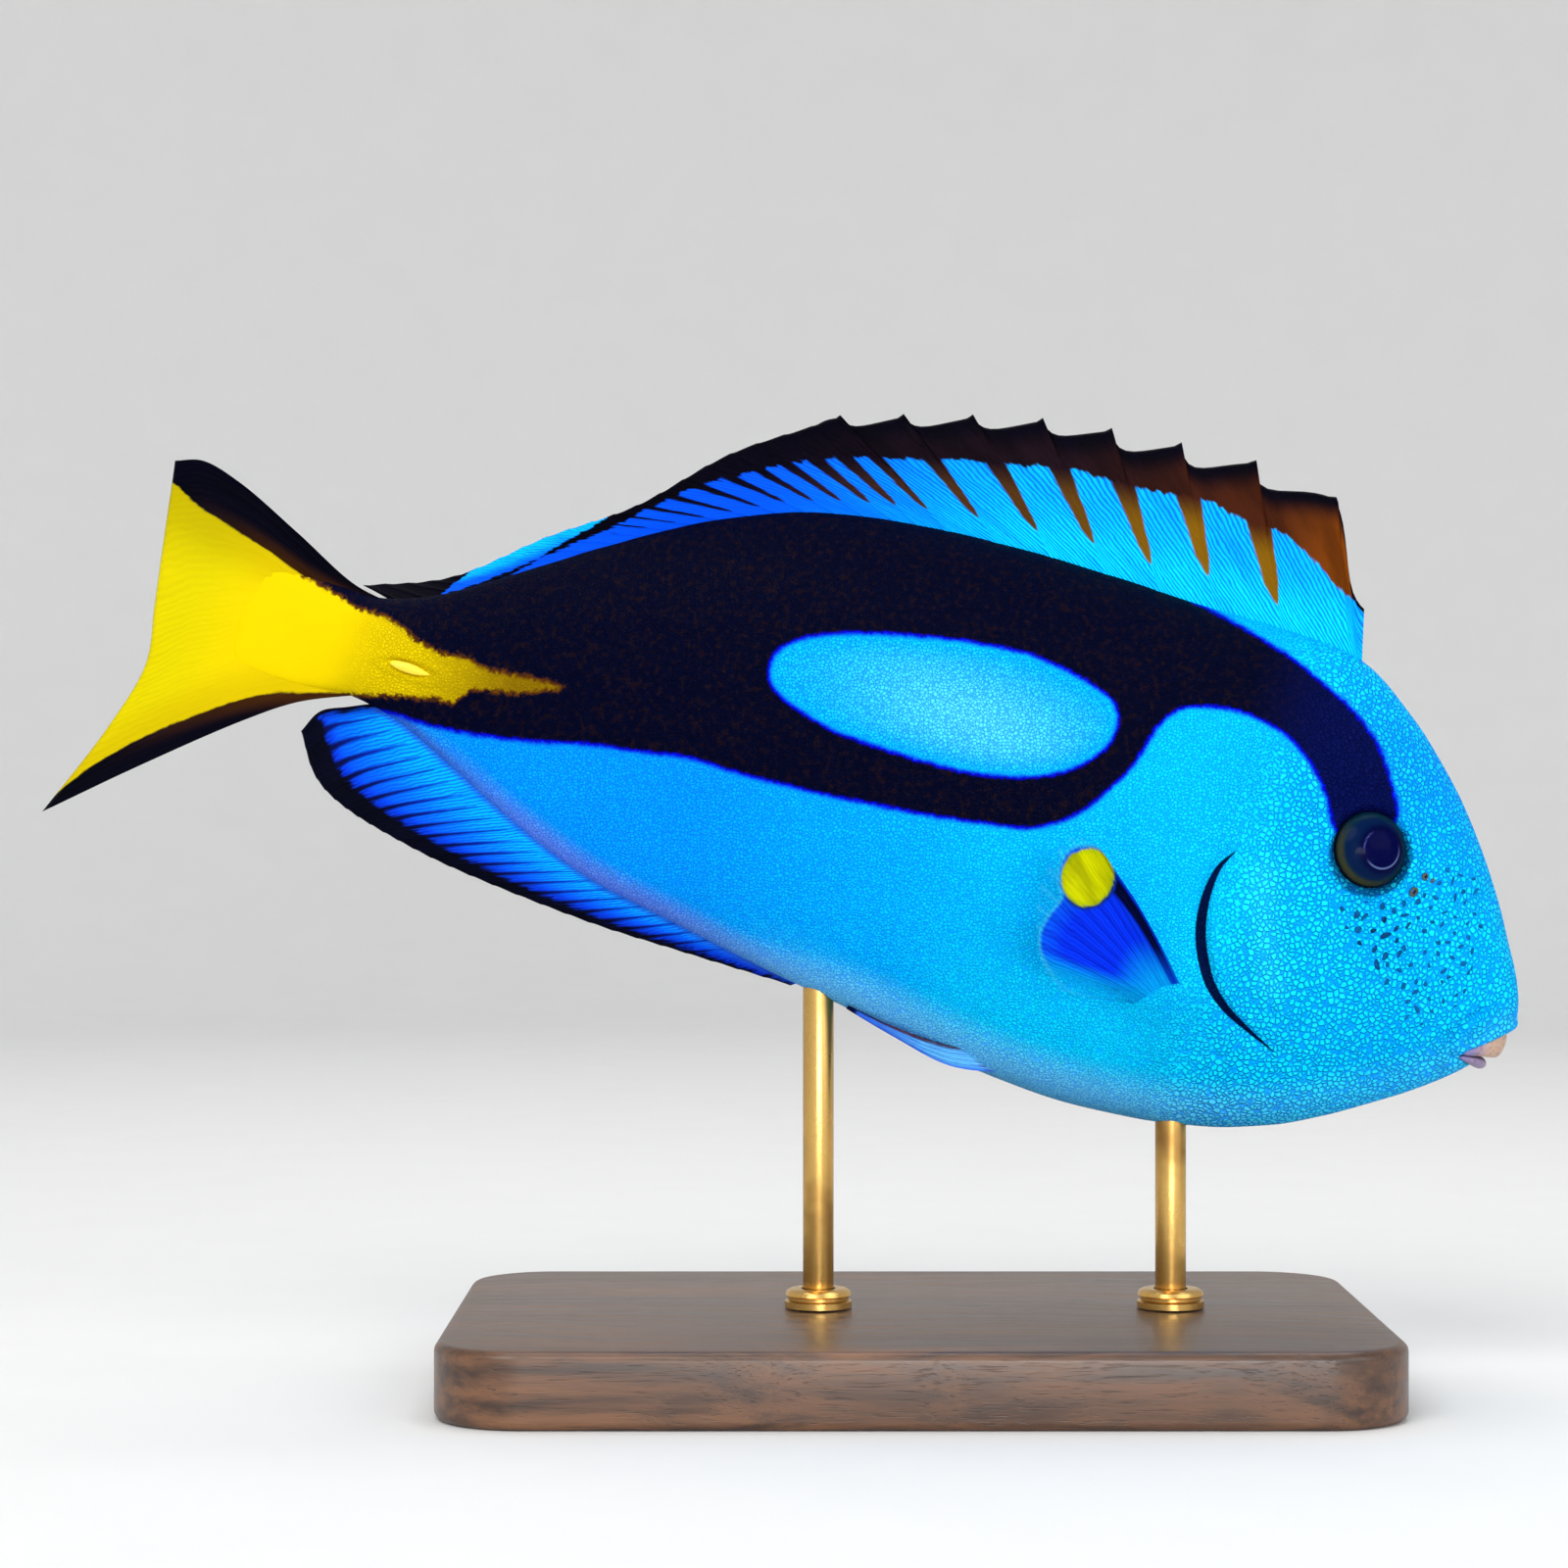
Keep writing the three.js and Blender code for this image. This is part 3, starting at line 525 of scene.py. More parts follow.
def give(piece: bpy.types.Object, name: str, kind: Kind, values: np.ndarray) -> None:
    """Adds an attribute to a piece's vertices.

    Args:
        piece: the piece.
        name: the attribute's name.
        kind: what it holds.
        values: one value, vector or colour for each vertex.
    """
    blender_type, key = kind.value
    attribute = piece.data.attributes.new(name, blender_type, "POINT")
    attribute.data.foreach_set(key, np.asarray(values, np.float32).ravel())


def settle(
    piece: bpy.types.Object, material: bpy.types.Material, replaced: Sequence[str] = ()
) -> bpy.types.Object:
    """Args:
        piece: the piece, its place in its mesh.
        material: its material.
        replaced: the nodes that it stands for.

    Returns:
        The piece.
    """
    piece.data.materials.clear()
    piece.data.materials.append(material)
    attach(piece, "root")
    if replaced:
        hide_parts(*replaced)
    LOG.info("%s: %d faces", piece.name, len(piece.data.polygons))
    return piece


def coats(ground: Colour | np.ndarray, *layers: tuple[np.ndarray, Colour | np.ndarray]) -> np.ndarray:
    """Lays colours over a ground, one after another.

    Args:
        ground: a colour, or one for each vertex.
        layers: each layer's share of 0 to 1 at each vertex, and its colour or one for each vertex.

    Returns:
        One colour for each vertex.
    """
    tint = np.asarray(ground)
    for share, colour in layers:
        weight = np.clip(share, 0, 1)[:, None]
        tint = tint * (1 - weight) + np.asarray(colour) * weight
    return tint


def fill(colour: Colour, count: int) -> np.ndarray:
    """One colour for each of so many vertices."""
    return np.tile(np.asarray(colour), (count, 1))


# Materials


Socket = bpy.types.NodeSocket


class Graph:
    """A material's nodes, with a short call for each kind that the finishes use.

    Attributes:
        mix_sockets: the share, first, second and result of a Mix node, whose names repeat, for each type of value.
    """

    mix_sockets: ClassVar[dict[str, tuple[int, int, int, int]]] = {"RGBA": (0, 6, 7, 2), "FLOAT": (0, 2, 3, 0)}

    def __init__(self, name: str) -> None:
        """Starts a material with a Principled shader.

        Args:
            name: the material's name.
        """
        self.material = bpy.data.materials.new(name)
        self.material.use_nodes = True
        self.tree = self.material.node_tree
        self.tree.nodes.clear()
        output = self.add("ShaderNodeOutputMaterial")
        self.shader = self.add("ShaderNodeBsdfPrincipled")
        self.tree.links.new(self.shader.outputs["BSDF"], output.inputs["Surface"])
        self.place = self.add("ShaderNodeTexCoord").outputs["Object"]

    def add(self, kind: str, **settings: object) -> bpy.types.Node:
        """Adds a node of a kind with some of its settings."""
        node = self.tree.nodes.new(kind)
        for key, value in settings.items():
            setattr(node, key, value)
        return node

    def feed(self, socket: Socket, value: object) -> None:
        """Links another node's output to a socket, or sets the socket's own value."""
        if isinstance(value, Socket):
            self.tree.links.new(value, socket)
        else:
            socket.default_value = value

    def set(self, **values: float | Colour | Socket) -> None:
        """Sets or links the shader's sockets, named with _ for a space and in small letters."""
        names = {socket.name.lower().replace(" ", "_"): socket for socket in self.shader.inputs}
        for key, value in values.items():
            self.feed(names[key], value)

    def math(self, operation: str, *values: object) -> Socket:
        """The result of a Math node."""
        node = self.add("ShaderNodeMath", operation=operation)
        for socket, value in zip(node.inputs, values):
            self.feed(socket, value)
        return node.outputs[0]

    def step(self, value: Socket, low: float, high: float, start: float = 0.0, end: float = 1.0) -> Socket:
        """A smooth step of a value.

        Args:
            value: what is stepped.
            low: where the step starts.
            high: where it ends.
            start: the result up to low.
            end: the result from high on.

        Returns:
            The result.
        """
        node = self.add("ShaderNodeMapRange", interpolation_type="SMOOTHSTEP")
        for name, number in (("From Min", low), ("From Max", high), ("To Min", start), ("To Max", end)):
            node.inputs[name].default_value = number
        self.feed(node.inputs["Value"], value)
        return node.outputs["Result"]

    def mix(
        self, share: Socket | float, first: Socket | Colour, second: Socket | Colour, how: str = "MIX"
    ) -> Socket:
        """Mixes two colours.

        Args:
            share: how much of the second.
            first: the first colour.
            second: the second colour.
            how: the way of mixing.

        Returns:
            The mixed colour.
        """
        return self._mixed("RGBA", (share, first, second), blend_type=how)

    def _mixed(self, data_type: str, values: Sequence[object], **settings: object) -> Socket:
        """The result of a Mix node from its share, first and second value."""
        node = self.add("ShaderNodeMix", data_type=data_type, **settings)
        *places, result = self.mix_sockets[data_type]
        for place, value in zip(places, values):
            self.feed(node.inputs[place], value)
        return node.outputs[result]

    def attribute(self, name: str, kind: Kind) -> Socket:
        """A mesh attribute's value."""
        node = self.add("ShaderNodeAttribute", attribute_name=name)
        return node.outputs[{Kind.NUMBER: "Fac", Kind.VECTOR: "Vector", Kind.COLOUR: "Color"}[kind]]

    def parts(self, vector: Socket) -> tuple[Socket, Socket, Socket]:
        """The three numbers of a vector."""
        node = self.add("ShaderNodeSeparateXYZ")
        self.feed(node.inputs[0], vector)
        return node.outputs[0], node.outputs[1], node.outputs[2]

    def stretched(self, vector: Socket, scale: tuple[float, float, float]) -> Socket:
        """A vector with each of its numbers scaled."""
        node = self.add("ShaderNodeMapping")
        node.inputs["Scale"].default_value = scale
        self.feed(node.inputs["Vector"], vector)
        return node.outputs["Vector"]

    def noise(self, scale: float, detail: float = 2.0, vector: Socket | None = None, rough: float = 0.5) -> Socket:
        """A cloudy noise of 0 to 1 about 0.5.

        Args:
            scale: how many clouds to a metre, or to a unit of vector.
            detail: how many finer clouds are laid over it.
            vector: what it is read over; Object coordinates without one.
            rough: how strong the finer clouds are.

        Returns:
            The noise.
        """
        node = self.add("ShaderNodeTexNoise")
        node.inputs["Scale"].default_value = scale
        node.inputs["Detail"].default_value = detail
        node.inputs["Roughness"].default_value = rough
        self.feed(node.inputs["Vector"], vector or self.place)
        return node.outputs[0]

    def cells(self, scale: float, feature: str = "F1", output: str = "Distance") -> Socket:
        """Cells like granules, as the distance from each cell's middle or as a colour for each cell.

        Args:
            scale: how many cells to a metre.
            feature: Blender's name for what is measured.
            output: the output's name.

        Returns:
            The output.
        """
        node = self.add("ShaderNodeTexVoronoi", feature=feature)
        node.inputs["Scale"].default_value = scale
        self.feed(node.inputs["Vector"], self.place)
        return node.outputs[output]

    def bump(self, height: Socket, depth: float, strength: float = 1.0, under: Socket | None = None) -> Socket:
        """A relief that the light sees.

        Args:
            height: the relief's height, 0 to 1.
            depth: how deep it is, in metres.
            strength: its share.
            under: a relief that it lies on.

        Returns:
            The surface's direction.
        """
        node = self.add("ShaderNodeBump")
        node.inputs["Strength"].default_value = strength
        node.inputs["Distance"].default_value = depth
        self.feed(node.inputs["Height"], height)
        if under is not None:
            self.feed(node.inputs["Normal"], under)
        return node.outputs["Normal"]

    def toward(self, share: Socket | float, first: Socket | float, second: Socket | float) -> Socket:
        """A number between two others."""
        return self._mixed("FLOAT", (share, first, second))


@dataclass(frozen=True)
class SkinFinish:
    """Granular fish skin: blue, with a ragged navy band, a yellow wedge and painted shade in the gill opening.

    Attributes:
        body_cells, head_cells: granules to a metre.
        band, band_front, band_speckle, halo: the band's colour, that of its front, its specks and its edge.
        yellow, olive, rust: the tail wedge, its olive front and the painted shade between its granules, and its
            edge.
        gill, gape: painted shade in the gill opening, and the inside of the mouth darkened as painted shade.
        gap_shade: what the blue is multiplied by between granules, partly their darker outlines and partly painted
            shade.
        lit_granule, cloud: the painted highlight on the palest granules of the head, and the faint clouds over all
            the blue.
    """

    body_cells: float = 1900.0
    head_cells: float = 1150.0
    band: Colour = paint(1, 3, 28)
    band_front: Colour = paint(2, 9, 66)
    band_speckle: Colour = paint(22, 11, 20)
    halo: Colour = paint(2, 4, 206)
    yellow: Colour = paint(212, 186, 0)
    olive: Colour = paint(128, 100, 2)
    rust: Colour = paint(92, 50, 2)
    gill: Colour = paint(1, 18, 62)
    gape: Colour = paint(60, 28, 34)
    gap_shade: Colour = (0.2, 0.42, 0.88, 1.0)
    lit_granule: Colour = (0.012, 0.74, 0.98, 1.0)
    cloud: Colour = (0.0, 0.1, 0.5, 1.0)

    def material(self) -> bpy.types.Material:
        """Builds the material."""
        g = Graph("skin")
        band, yellow, gill = g.parts(g.attribute("marks", Kind.VECTOR))
        head, gape, olive_front = g.parts(g.attribute("areas", Kind.VECTOR))
        calm, contrast, gill_width = g.parts(g.attribute("grain", Kind.VECTOR))
        cell = g.toward(head, self._inside_cell(g, self.body_cells), self._inside_cell(g, self.head_cells))
        dome = g.math("MULTIPLY", g.step(cell, 0.0, 0.34), g.math("SUBTRACT", 1.0, calm))
        ragged = g.math("SUBTRACT", g.noise(700.0, 3.0), 0.5)
        tooth = g.math("MULTIPLY_ADD", g.math("SUBTRACT", dome, 0.5), 0.22, g.math("MULTIPLY", ragged, 0.7))
        skin = self._blues(g, dome, head, contrast)
        edge = g.math("ADD", band, tooth)
        haloed = g.mix(g.step(edge, -1.05, -0.15), skin, self.halo)
        specks = g.mix(g.step(g.noise(1000.0, 4.0), 0.48, 0.72, 0.0, 0.9), self.band, self.band_speckle)
        banded = g.mix(g.step(edge, -0.25, 0.3), haloed, g.mix(head, specks, self.band_front))
        scale_tone = g.math("SUBTRACT", g.cells(1500.0, output="Color"), 0.5)
        scaly = g.math("MULTIPLY_ADD", ragged, 0.8, g.math("MULTIPLY_ADD", scale_tone, 0.8, yellow))
        # Olive between the wedge's granules: partly their darker outlines, partly painted shade.
        gap = g.math("MULTIPLY", g.step(dome, 0.8, 0.1, 0.0, 0.3), g.math("SUBTRACT", 1.0, calm))
        gold = g.mix(gap, g.mix(olive_front, self.yellow, self.olive), self.olive)
        rusty = g.mix(g.step(scaly, -1.0, -0.25, 0.0, 0.85), banded, self.rust)
        tailed = g.mix(g.step(scaly, -0.35, 0.35), rusty, gold)
        # Painted shade: the gill slit as a dark crescent.
        gill_depth = g.math("SUBTRACT", gill_width, g.math("ABSOLUTE", gill))
        opened = g.mix(g.step(gill_depth, -0.12, 0.12), tailed, self.gill)
        # Painted shade: the inside of the mouth darkened in its gap.
        g.set(base_color=g.mix(gape, opened, self.gape), roughness=g.step(dome, 0.0, 1.0, 0.6, 0.42))
        g.set(specular_ior_level=0.02)
        height = g.math("MULTIPLY", dome, g.toward(head, 0.5, 1.0))
        grain = g.bump(height, 0.00035, 0.9)
        g.set(normal=g.bump(g.noise(240.0, 3.0), 0.0002, 0.3, grain))
        return g.material

    def _inside_cell(self, g: Graph, scale: float) -> Socket:
        """How far each place is inside its granule, 0 on the border between two."""
        return g.math("SUBTRACT", g.cells(scale, "F2"), g.cells(scale, "F1"))

    def _blues(self, g: Graph, dome: Socket, head: Socket, contrast: Socket) -> Socket:
        """The blue skin: lighter on each granule, with a painted highlight on the head's palest ones, and deeper
        in the gaps between them, partly their outlines and partly painted shade.

        Args:
            g: the material's nodes.
            dome: 0 between the granules and 1 on them.
            head: how much each place belongs to the head.
            contrast: how dark the gaps are, partly outlines and partly painted shade.

        Returns:
            The colour.
        """
        tint = g.attribute("tint", Kind.COLOUR)
        # Darker gaps between the granules: partly their own darker outlines, partly painted shade.
        gap = g.math("MULTIPLY", g.step(dome, 0.75, 0.1), contrast)
        deep = g.mix(1.0, tint, self.gap_shade, "MULTIPLY")
        shaded = g.mix(gap, tint, deep)
        # Painted highlight: the palest granules of the head lit cyan on their domes.
        own = g.step(g.cells(self.head_cells, output="Color"), 0.3, 0.95, 0.0, 0.35)
        lit = g.mix(g.math("MULTIPLY", g.math("MULTIPLY", own, dome), head), shaded, self.lit_granule)
        return g.mix(g.step(g.noise(60.0, 3.0), 0.3, 0.7, 0.0, 0.08), lit, self.cloud)


@dataclass(frozen=True)
class FinFinish:
    """A fin: a streaked membrane with a darker margin, marks of its own and a thin see-through edge.

    Attributes:
        name: the material's name.
        streaks: how strong the fine streaks along the rays are.
        ragged: how far the margin's border wanders, in millimetres.
        streak_shade: what the streaks are mixed with.
        edge_blur: half the width of the border between the colours, in millimetres.
        calm_root: where the streaks start and where they are whole, as shares of the fin from its root.
        mottle: what the margin's colour is multiplied by in its darker clouds.
    """

    name: str
    streaks: float = 0.7
    ragged: float = 1.8
    streak_shade: Colour = paint(0, 62, 205)
    edge_blur: float = 0.2
    calm_root: tuple[float, float] = (0.0, 0.02)
    mottle: Colour = (0.25, 0.25, 0.3, 1.0)

    def material(self) -> bpy.types.Material:
        """Builds the material."""
        g = Graph(self.name)
        over = g.attribute("fin", Kind.VECTOR)
        across, along, _ = g.parts(over)
        margin, mark, clear = g.parts(g.attribute("marks", Kind.VECTOR))
        fine = g.noise(1.0, 3.0, g.stretched(over, (0.7, 2.4, 1.0)), 0.6)
        wide = g.noise(1.0, 3.0, g.stretched(over, (0.22, 1.8, 1.0)))
        sway = g.math("MULTIPLY_ADD", g.noise(1.0, 3.0, g.stretched(over, (0.3, 9.0, 1.0))), 1.6, across)
        line = g.math("SINE", g.math("MULTIPLY", sway, 2 * math.pi))
        lines = g.math("MULTIPLY_ADD", line, g.step(fine, 0.3, 0.6, 0.15, 0.5), 0.5)
        wander = g.math("MULTIPLY", g.math("SUBTRACT", fine, 0.5), self.ragged)
        wander = g.math("MULTIPLY_ADD", g.math("SUBTRACT", g.noise(700.0, 2.0), 0.5), self.ragged * 0.4, wander)
        grown = g.step(along, *self.calm_root)
        tint = g.attribute("tint", Kind.COLOUR)
        share = g.math("MULTIPLY", g.step(lines, 0.35, 0.8, 0.0, self.streaks), grown)
        streaky = g.mix(share, tint, self.streak_shade)
        broad = g.math("MULTIPLY", g.step(wide, 0.45, 0.7, 0.0, self.streaks * 0.35), grown)
        streaky = g.mix(broad, streaky, self.streak_shade)
        blur = self.edge_blur
        edge = g.attribute("margin_tint", Kind.COLOUR)
        darker = g.mix(1.0, edge, self.mottle, "MULTIPLY")
        mottled = g.mix(g.step(wide, 0.35, 0.65, 0.0, 0.55), edge, darker)
        marked = g.step(g.math("MULTIPLY_ADD", wander, 0.3, mark), -blur, blur)
        lined = g.mix(marked, streaky, g.attribute("mark_tint", Kind.COLOUR))
        g.set(base_color=g.mix(g.step(g.math("ADD", margin, wander), -blur, blur), lined, mottled))
        g.set(roughness=0.5, specular_ior_level=0.02, alpha=g.math("SUBTRACT", 1.0, clear))
        rib = g.bump(g.math("MULTIPLY", lines, grown), 0.0001, 0.6)
        g.set(normal=g.bump(g.noise(900.0, 2.0), 0.0001, 0.25, rib))
        return g.material


@dataclass(frozen=True)
class EyeFinish:
    """A wet eye: colours painted on the ball under a clear, glossy coat."""

    fleck: Colour = (0.001, 0.008, 0.03, 1.0)

    def material(self) -> bpy.types.Material:
        """Builds the material."""
        g = Graph("eye")
        tint = g.attribute("tint", Kind.COLOUR)
        flecked = g.step(g.noise(1500.0, 3.0), 0.45, 0.8, 0.0, 0.3)
        g.set(base_color=g.mix(flecked, tint, self.fleck), roughness=0.3)
        g.set(coat_weight=0.03, coat_roughness=0.03, specular_ior_level=0.01)
        return g.material


@dataclass(frozen=True)
class FreckleFinish:
    """Dark pigment between the granules of the face, mottled with blue; the nostrils' rims and their openings'
    painted shade use it too.
    """

    mottle: Colour = paint(8, 92, 158)

    def material(self) -> bpy.types.Material:
        """Builds the material."""
        g = Graph("freckles")
        mottled = g.step(g.noise(1900.0, 3.0), 0.45, 0.75, 0.0, 0.6)
        g.set(base_color=g.mix(mottled, g.attribute("tint", Kind.COLOUR), self.mottle), roughness=0.5)
        g.set(normal=g.bump(g.noise(2200.0, 2.0), 0.00005, 0.3), specular_ior_level=0.03)
        return g.material


@dataclass(frozen=True)
class LipFinish:
    """Bare, finely wrinkled lips, beige with a violet cast towards the corners."""

    beige: Colour = paint(178, 148, 128)
    violet: Colour = paint(112, 104, 150)
    crease: Colour = paint(92, 64, 60)

    def material(self) -> bpy.types.Material:
        """Builds the material."""
        g = Graph("lips")
        corner = g.attribute("corner", Kind.NUMBER)
        wrinkle = g.noise(1.0, 3.0, g.stretched(g.place, (1500.0, 500.0, 1500.0)))
        base = g.mix(corner, self.beige, self.violet)
        creased = g.mix(g.step(wrinkle, 0.5, 0.75, 0.0, 0.55), base, self.crease)
        g.set(base_color=creased, roughness=0.4, specular_ior_level=0.3)
        g.set(normal=g.bump(wrinkle, 0.0002, 0.6))
        return g.material


@dataclass(frozen=True)
class SpineFinish:
    """Enamelled bone, ivory yellow with fine growth lines."""

    light: Colour = paint(252, 226, 60)
    dark: Colour = paint(236, 196, 8)

    def material(self) -> bpy.types.Material:
        """Builds the material."""
        g = Graph("tail_spine")
        lines = g.noise(1.0, 3.0, g.stretched(g.place, (500.0, 500.0, 3600.0)))
        g.set(base_color=g.mix(lines, self.light, self.dark), roughness=0.28, coat_weight=0.3, coat_roughness=0.1)
        g.set(normal=g.bump(lines, 0.00006, 0.35))
        return g.material


@dataclass(frozen=True)
class WalnutFinish:
    """Dark oiled walnut: long grain with pores along the base."""

    light: Colour = paint(112, 74, 46)
    dark: Colour = paint(50, 29, 17)
    pore: Colour = paint(30, 16, 9)

    def material(self) -> bpy.types.Material:
        """Builds the material."""
        g = Graph("walnut")
        wave = g.math("MULTIPLY", g.noise(14.0, 2.0), 0.03)
        x, y, z = g.parts(g.place)
        warped = g.add("ShaderNodeCombineXYZ")
        for socket, value in zip(warped.inputs, (x, g.math("ADD", y, wave), z)):
            g.feed(socket, value)
        grain = g.noise(1.0, 5.0, g.stretched(warped.outputs[0], (22.0, 420.0, 420.0)), 0.6)
        pores = g.noise(1.0, 2.0, g.stretched(warped.outputs[0], (160.0, 3200.0, 3200.0)))
        figure = g.noise(1.0, 2.0, g.stretched(warped.outputs[0], (9.0, 70.0, 70.0)))
        wood = g.mix(g.step(grain, 0.3, 0.7), self.dark, self.light)
        wood = g.mix(g.step(figure, 0.35, 0.7, 0.0, 0.55), wood, self.dark)
        wood = g.mix(g.step(pores, 0.6, 0.75, 0.0, 0.7), wood, self.pore)
        g.set(base_color=wood, roughness=g.step(grain, 0.2, 0.8, 0.34, 0.5), coat_weight=0.25, coat_roughness=0.25)
        g.set(normal=g.bump(g.step(pores, 0.75, 0.55), 0.0002, 0.35))
        return g.material


@dataclass(frozen=True)
class BrassFinish:
    """Satin brass with fine lines round each rod and a little tarnish."""

    bright: Colour = paint(214, 172, 98)
    tarnish: Colour = paint(150, 112, 60)

    def material(self) -> bpy.types.Material:
        """Builds the material."""
        g = Graph("brass")
        lines = g.noise(1.0, 2.0, g.stretched(g.place, (60.0, 60.0, 9000.0)))
        cloud = g.noise(90.0, 3.0)
        g.set(base_color=g.mix(g.step(cloud, 0.45, 0.8), self.bright, self.tarnish), metallic=1.0)
        g.set(roughness=g.step(cloud, 0.3, 0.8, 0.24, 0.4), normal=g.bump(lines, 0.00003, 0.4))
        return g.material


@dataclass(frozen=True)
class PaperFinish:
    """The studio's matt paper, with a faint tooth."""

    white: Colour = (0.72, 0.72, 0.715, 1.0)
    shade: Colour = (0.69, 0.69, 0.685, 1.0)

    def material(self) -> bpy.types.Material:
        """Builds the material."""
        g = Graph("studio_paper")
        g.set(base_color=g.mix(g.noise(40.0, 3.0), self.white, self.shade), roughness=0.9)
        g.set(normal=g.bump(g.noise(1500.0, 2.0), 0.0001, 0.1))
        return g.material


# Markings, on the side view as the camera sees it


@dataclass(frozen=True)
class Markings:
    """The lines that bound the colours of the body.

    Attributes:
        band: the outline of the dark band, from the eye over the back to the tail and forward again.
        oval: the blue oval inside the band.
        wedge_top, wedge_bottom: the borders of the tail's yellow wedge, from the tail fin forwards.
        gill: the middle of the dark crescent behind the gill cover, painted shade in the gill slit.
        gill_half_width: half its width at its middle.
    """

    band: Points = (
        (165.5, 19.5), (169, 25.5), (166.4, 30.5), (163.3, 34.9), (160.2, 37.7), (156, 40.3), (151.1, 42.4),
        (145.3, 44.7), (139.7, 46.2), (132.5, 47.8), (123.8, 49.4), (115.3, 53), (98, 56), (62, 50), (30, 34),
        (8, 16), (-20, 18), (-60, 40), (-60, -60), (0, -14), (6, -9), (12, -8.6), (16.2, -8.4), (24.2, -7.3),
        (33.7, -5.2), (39.8, -3.5), (47.8, -2.1), (55.7, -0.6), (64.1, -0.4), (72.3, 0.1), (80.5, 0.8),
        (88.6, 1.7), (96.7, 2.7), (104.7, 4.1), (111.8, 5.5), (116.1, 7.6), (120, 11.2), (122.8, 15.5),
        (125.4, 20.6), (126.5, 24.8), (127.7, 28.9), (130.1, 31.9), (133.8, 33.5), (139.4, 34.4), (144.6, 34),
        (149.3, 32.5), (153.5, 29.7), (157.4, 25.6), (160.4, 21),
    )
    oval: Points = (
        (64.3, 15.9), (64.2, 19.9), (67.3, 23.4), (72.3, 26), (79.9, 28.5), (87.7, 30.4), (95.6, 31.9),
        (103.8, 32.7), (110.7, 32.1), (116.1, 31), (119.7, 29.3), (121.4, 26.5), (121.2, 23.1), (119.1, 19.2),
        (115.2, 15.7), (110.1, 13.1), (102.4, 11.1), (94.2, 10.3), (85.8, 10.2), (77.3, 10.5), (70.5, 12),
        (66.2, 13.8),
    )
    wedge_top: Points = (
        (-37.8, 16), (-27.7, 12.2), (-17.2, 9.4), (-11.9, 7.7), (-6.7, 6.6), (-3.4, 5.7), (2.3, 5.4),
        (5.9, 4.4), (8.5, 3.3), (12.3, 2.7), (16.1, 3.1), (19, 2.6), (21, 2.5), (25.1, 3.1), (28.6, 3.5),
        (32.5, 3.6),
    )
    wedge_bottom: Points = (
        (-42, -43), (-38.7, -35.8), (-34.4, -30.2), (-29.9, -25.4), (-24.3, -20.4), (-18.1, -15.6),
        (-11.1, -11.5), (-5.2, -9.4), (0.9, -7.8), (7, -5.9), (13.2, -4.3), (17.1, -3.8), (18.2, -2.0),
        (19.3, -0.9), (23.4, 0.2), (27.2, 1.2), (32.5, 3.6),
    )
    gill: Points = (
        (146, 12.5), (144.2, 9.2), (143.6, 5.4), (143.8, 1.3), (144.7, -2.6), (146.4, -6.3), (148.7, -9.7),
        (152.1, -12.5), (156.1, -14.5), (162.3, -17.1),
    )
    gill_half_width: float = 0.9

    def oval_depth(self, seen: np.ndarray) -> np.ndarray:
        """How far each place is inside the oval."""
        return depth_inside(seen, smooth_line(self.oval, 160, closed=True))

    def band_depth(self, seen: np.ndarray) -> np.ndarray:
        """How far each place is inside the band and outside its oval."""
        outline = smooth_line(self.band, 360, closed=True)
        return np.minimum(depth_inside(seen, outline), -self.oval_depth(seen))

    def wedge_depth(self, seen: np.ndarray) -> np.ndarray:
        """How far each place is inside the yellow wedge."""
        x, z = seen.T
        below_top = curve_through(self.wedge_top, x) - z
        over_bottom = z - curve_through(self.wedge_bottom, x)
        past = self.wedge_top[-1][0] - x
        return np.minimum(np.minimum(below_top, over_bottom), past)

    def gill_place(self, seen: np.ndarray) -> tuple[np.ndarray, np.ndarray]:
        """Where each place lies by the dark crescent behind the gill cover.

        Args:
            seen: the places on the side view.

        Returns:
            The signed distance from the crescent's middle line, and half its width there, below 0 past its ends.
        """
        line = smooth_line(self.gill, 240)
        last = len(line) - 1
        share = along_line(seen, line)
        nearest = np.round(share * last).astype(int)
        along = line[np.minimum(nearest + 1, last)] - line[np.maximum(nearest - 1, 0)]
        off = seen - line[nearest]
        side = np.sign(along[:, 0] * off[:, 1] - along[:, 1] * off[:, 0])
        width = self.gill_half_width * np.sin(np.pi * share) ** 0.7
        return side * distance_to(seen, line), width - 0.3 * ((nearest == 0) | (nearest == last))


MARKINGS = Markings()


# Skin


@dataclass(frozen=True)
class Ridge:
    """A soft ridge along a line, or a furrow.

    Attributes:
        height: how far it stands out, below 0 for a furrow.
        off: how far from the line its crest runs.
        half_width: half its width.
    """

    height: float
    off: float
    half_width: float

    def at(self, distance: np.ndarray) -> np.ndarray:
        """Its height at distances from the line."""
        return self.height * bell(distance - self.off, self.half_width)


@dataclass(frozen=True)
class Hollow:
    """A hollow with soft sides.

    Attributes:
        depth: how deep it is.
        brink, floor: the distances at which its side starts and is at its deepest.
    """

    depth: float
    brink: float
    floor: float

    def at(self, distance: np.ndarray) -> np.ndarray:
        """Its depth at distances."""
        return self.depth * soft_step(self.brink, self.floor, distance)


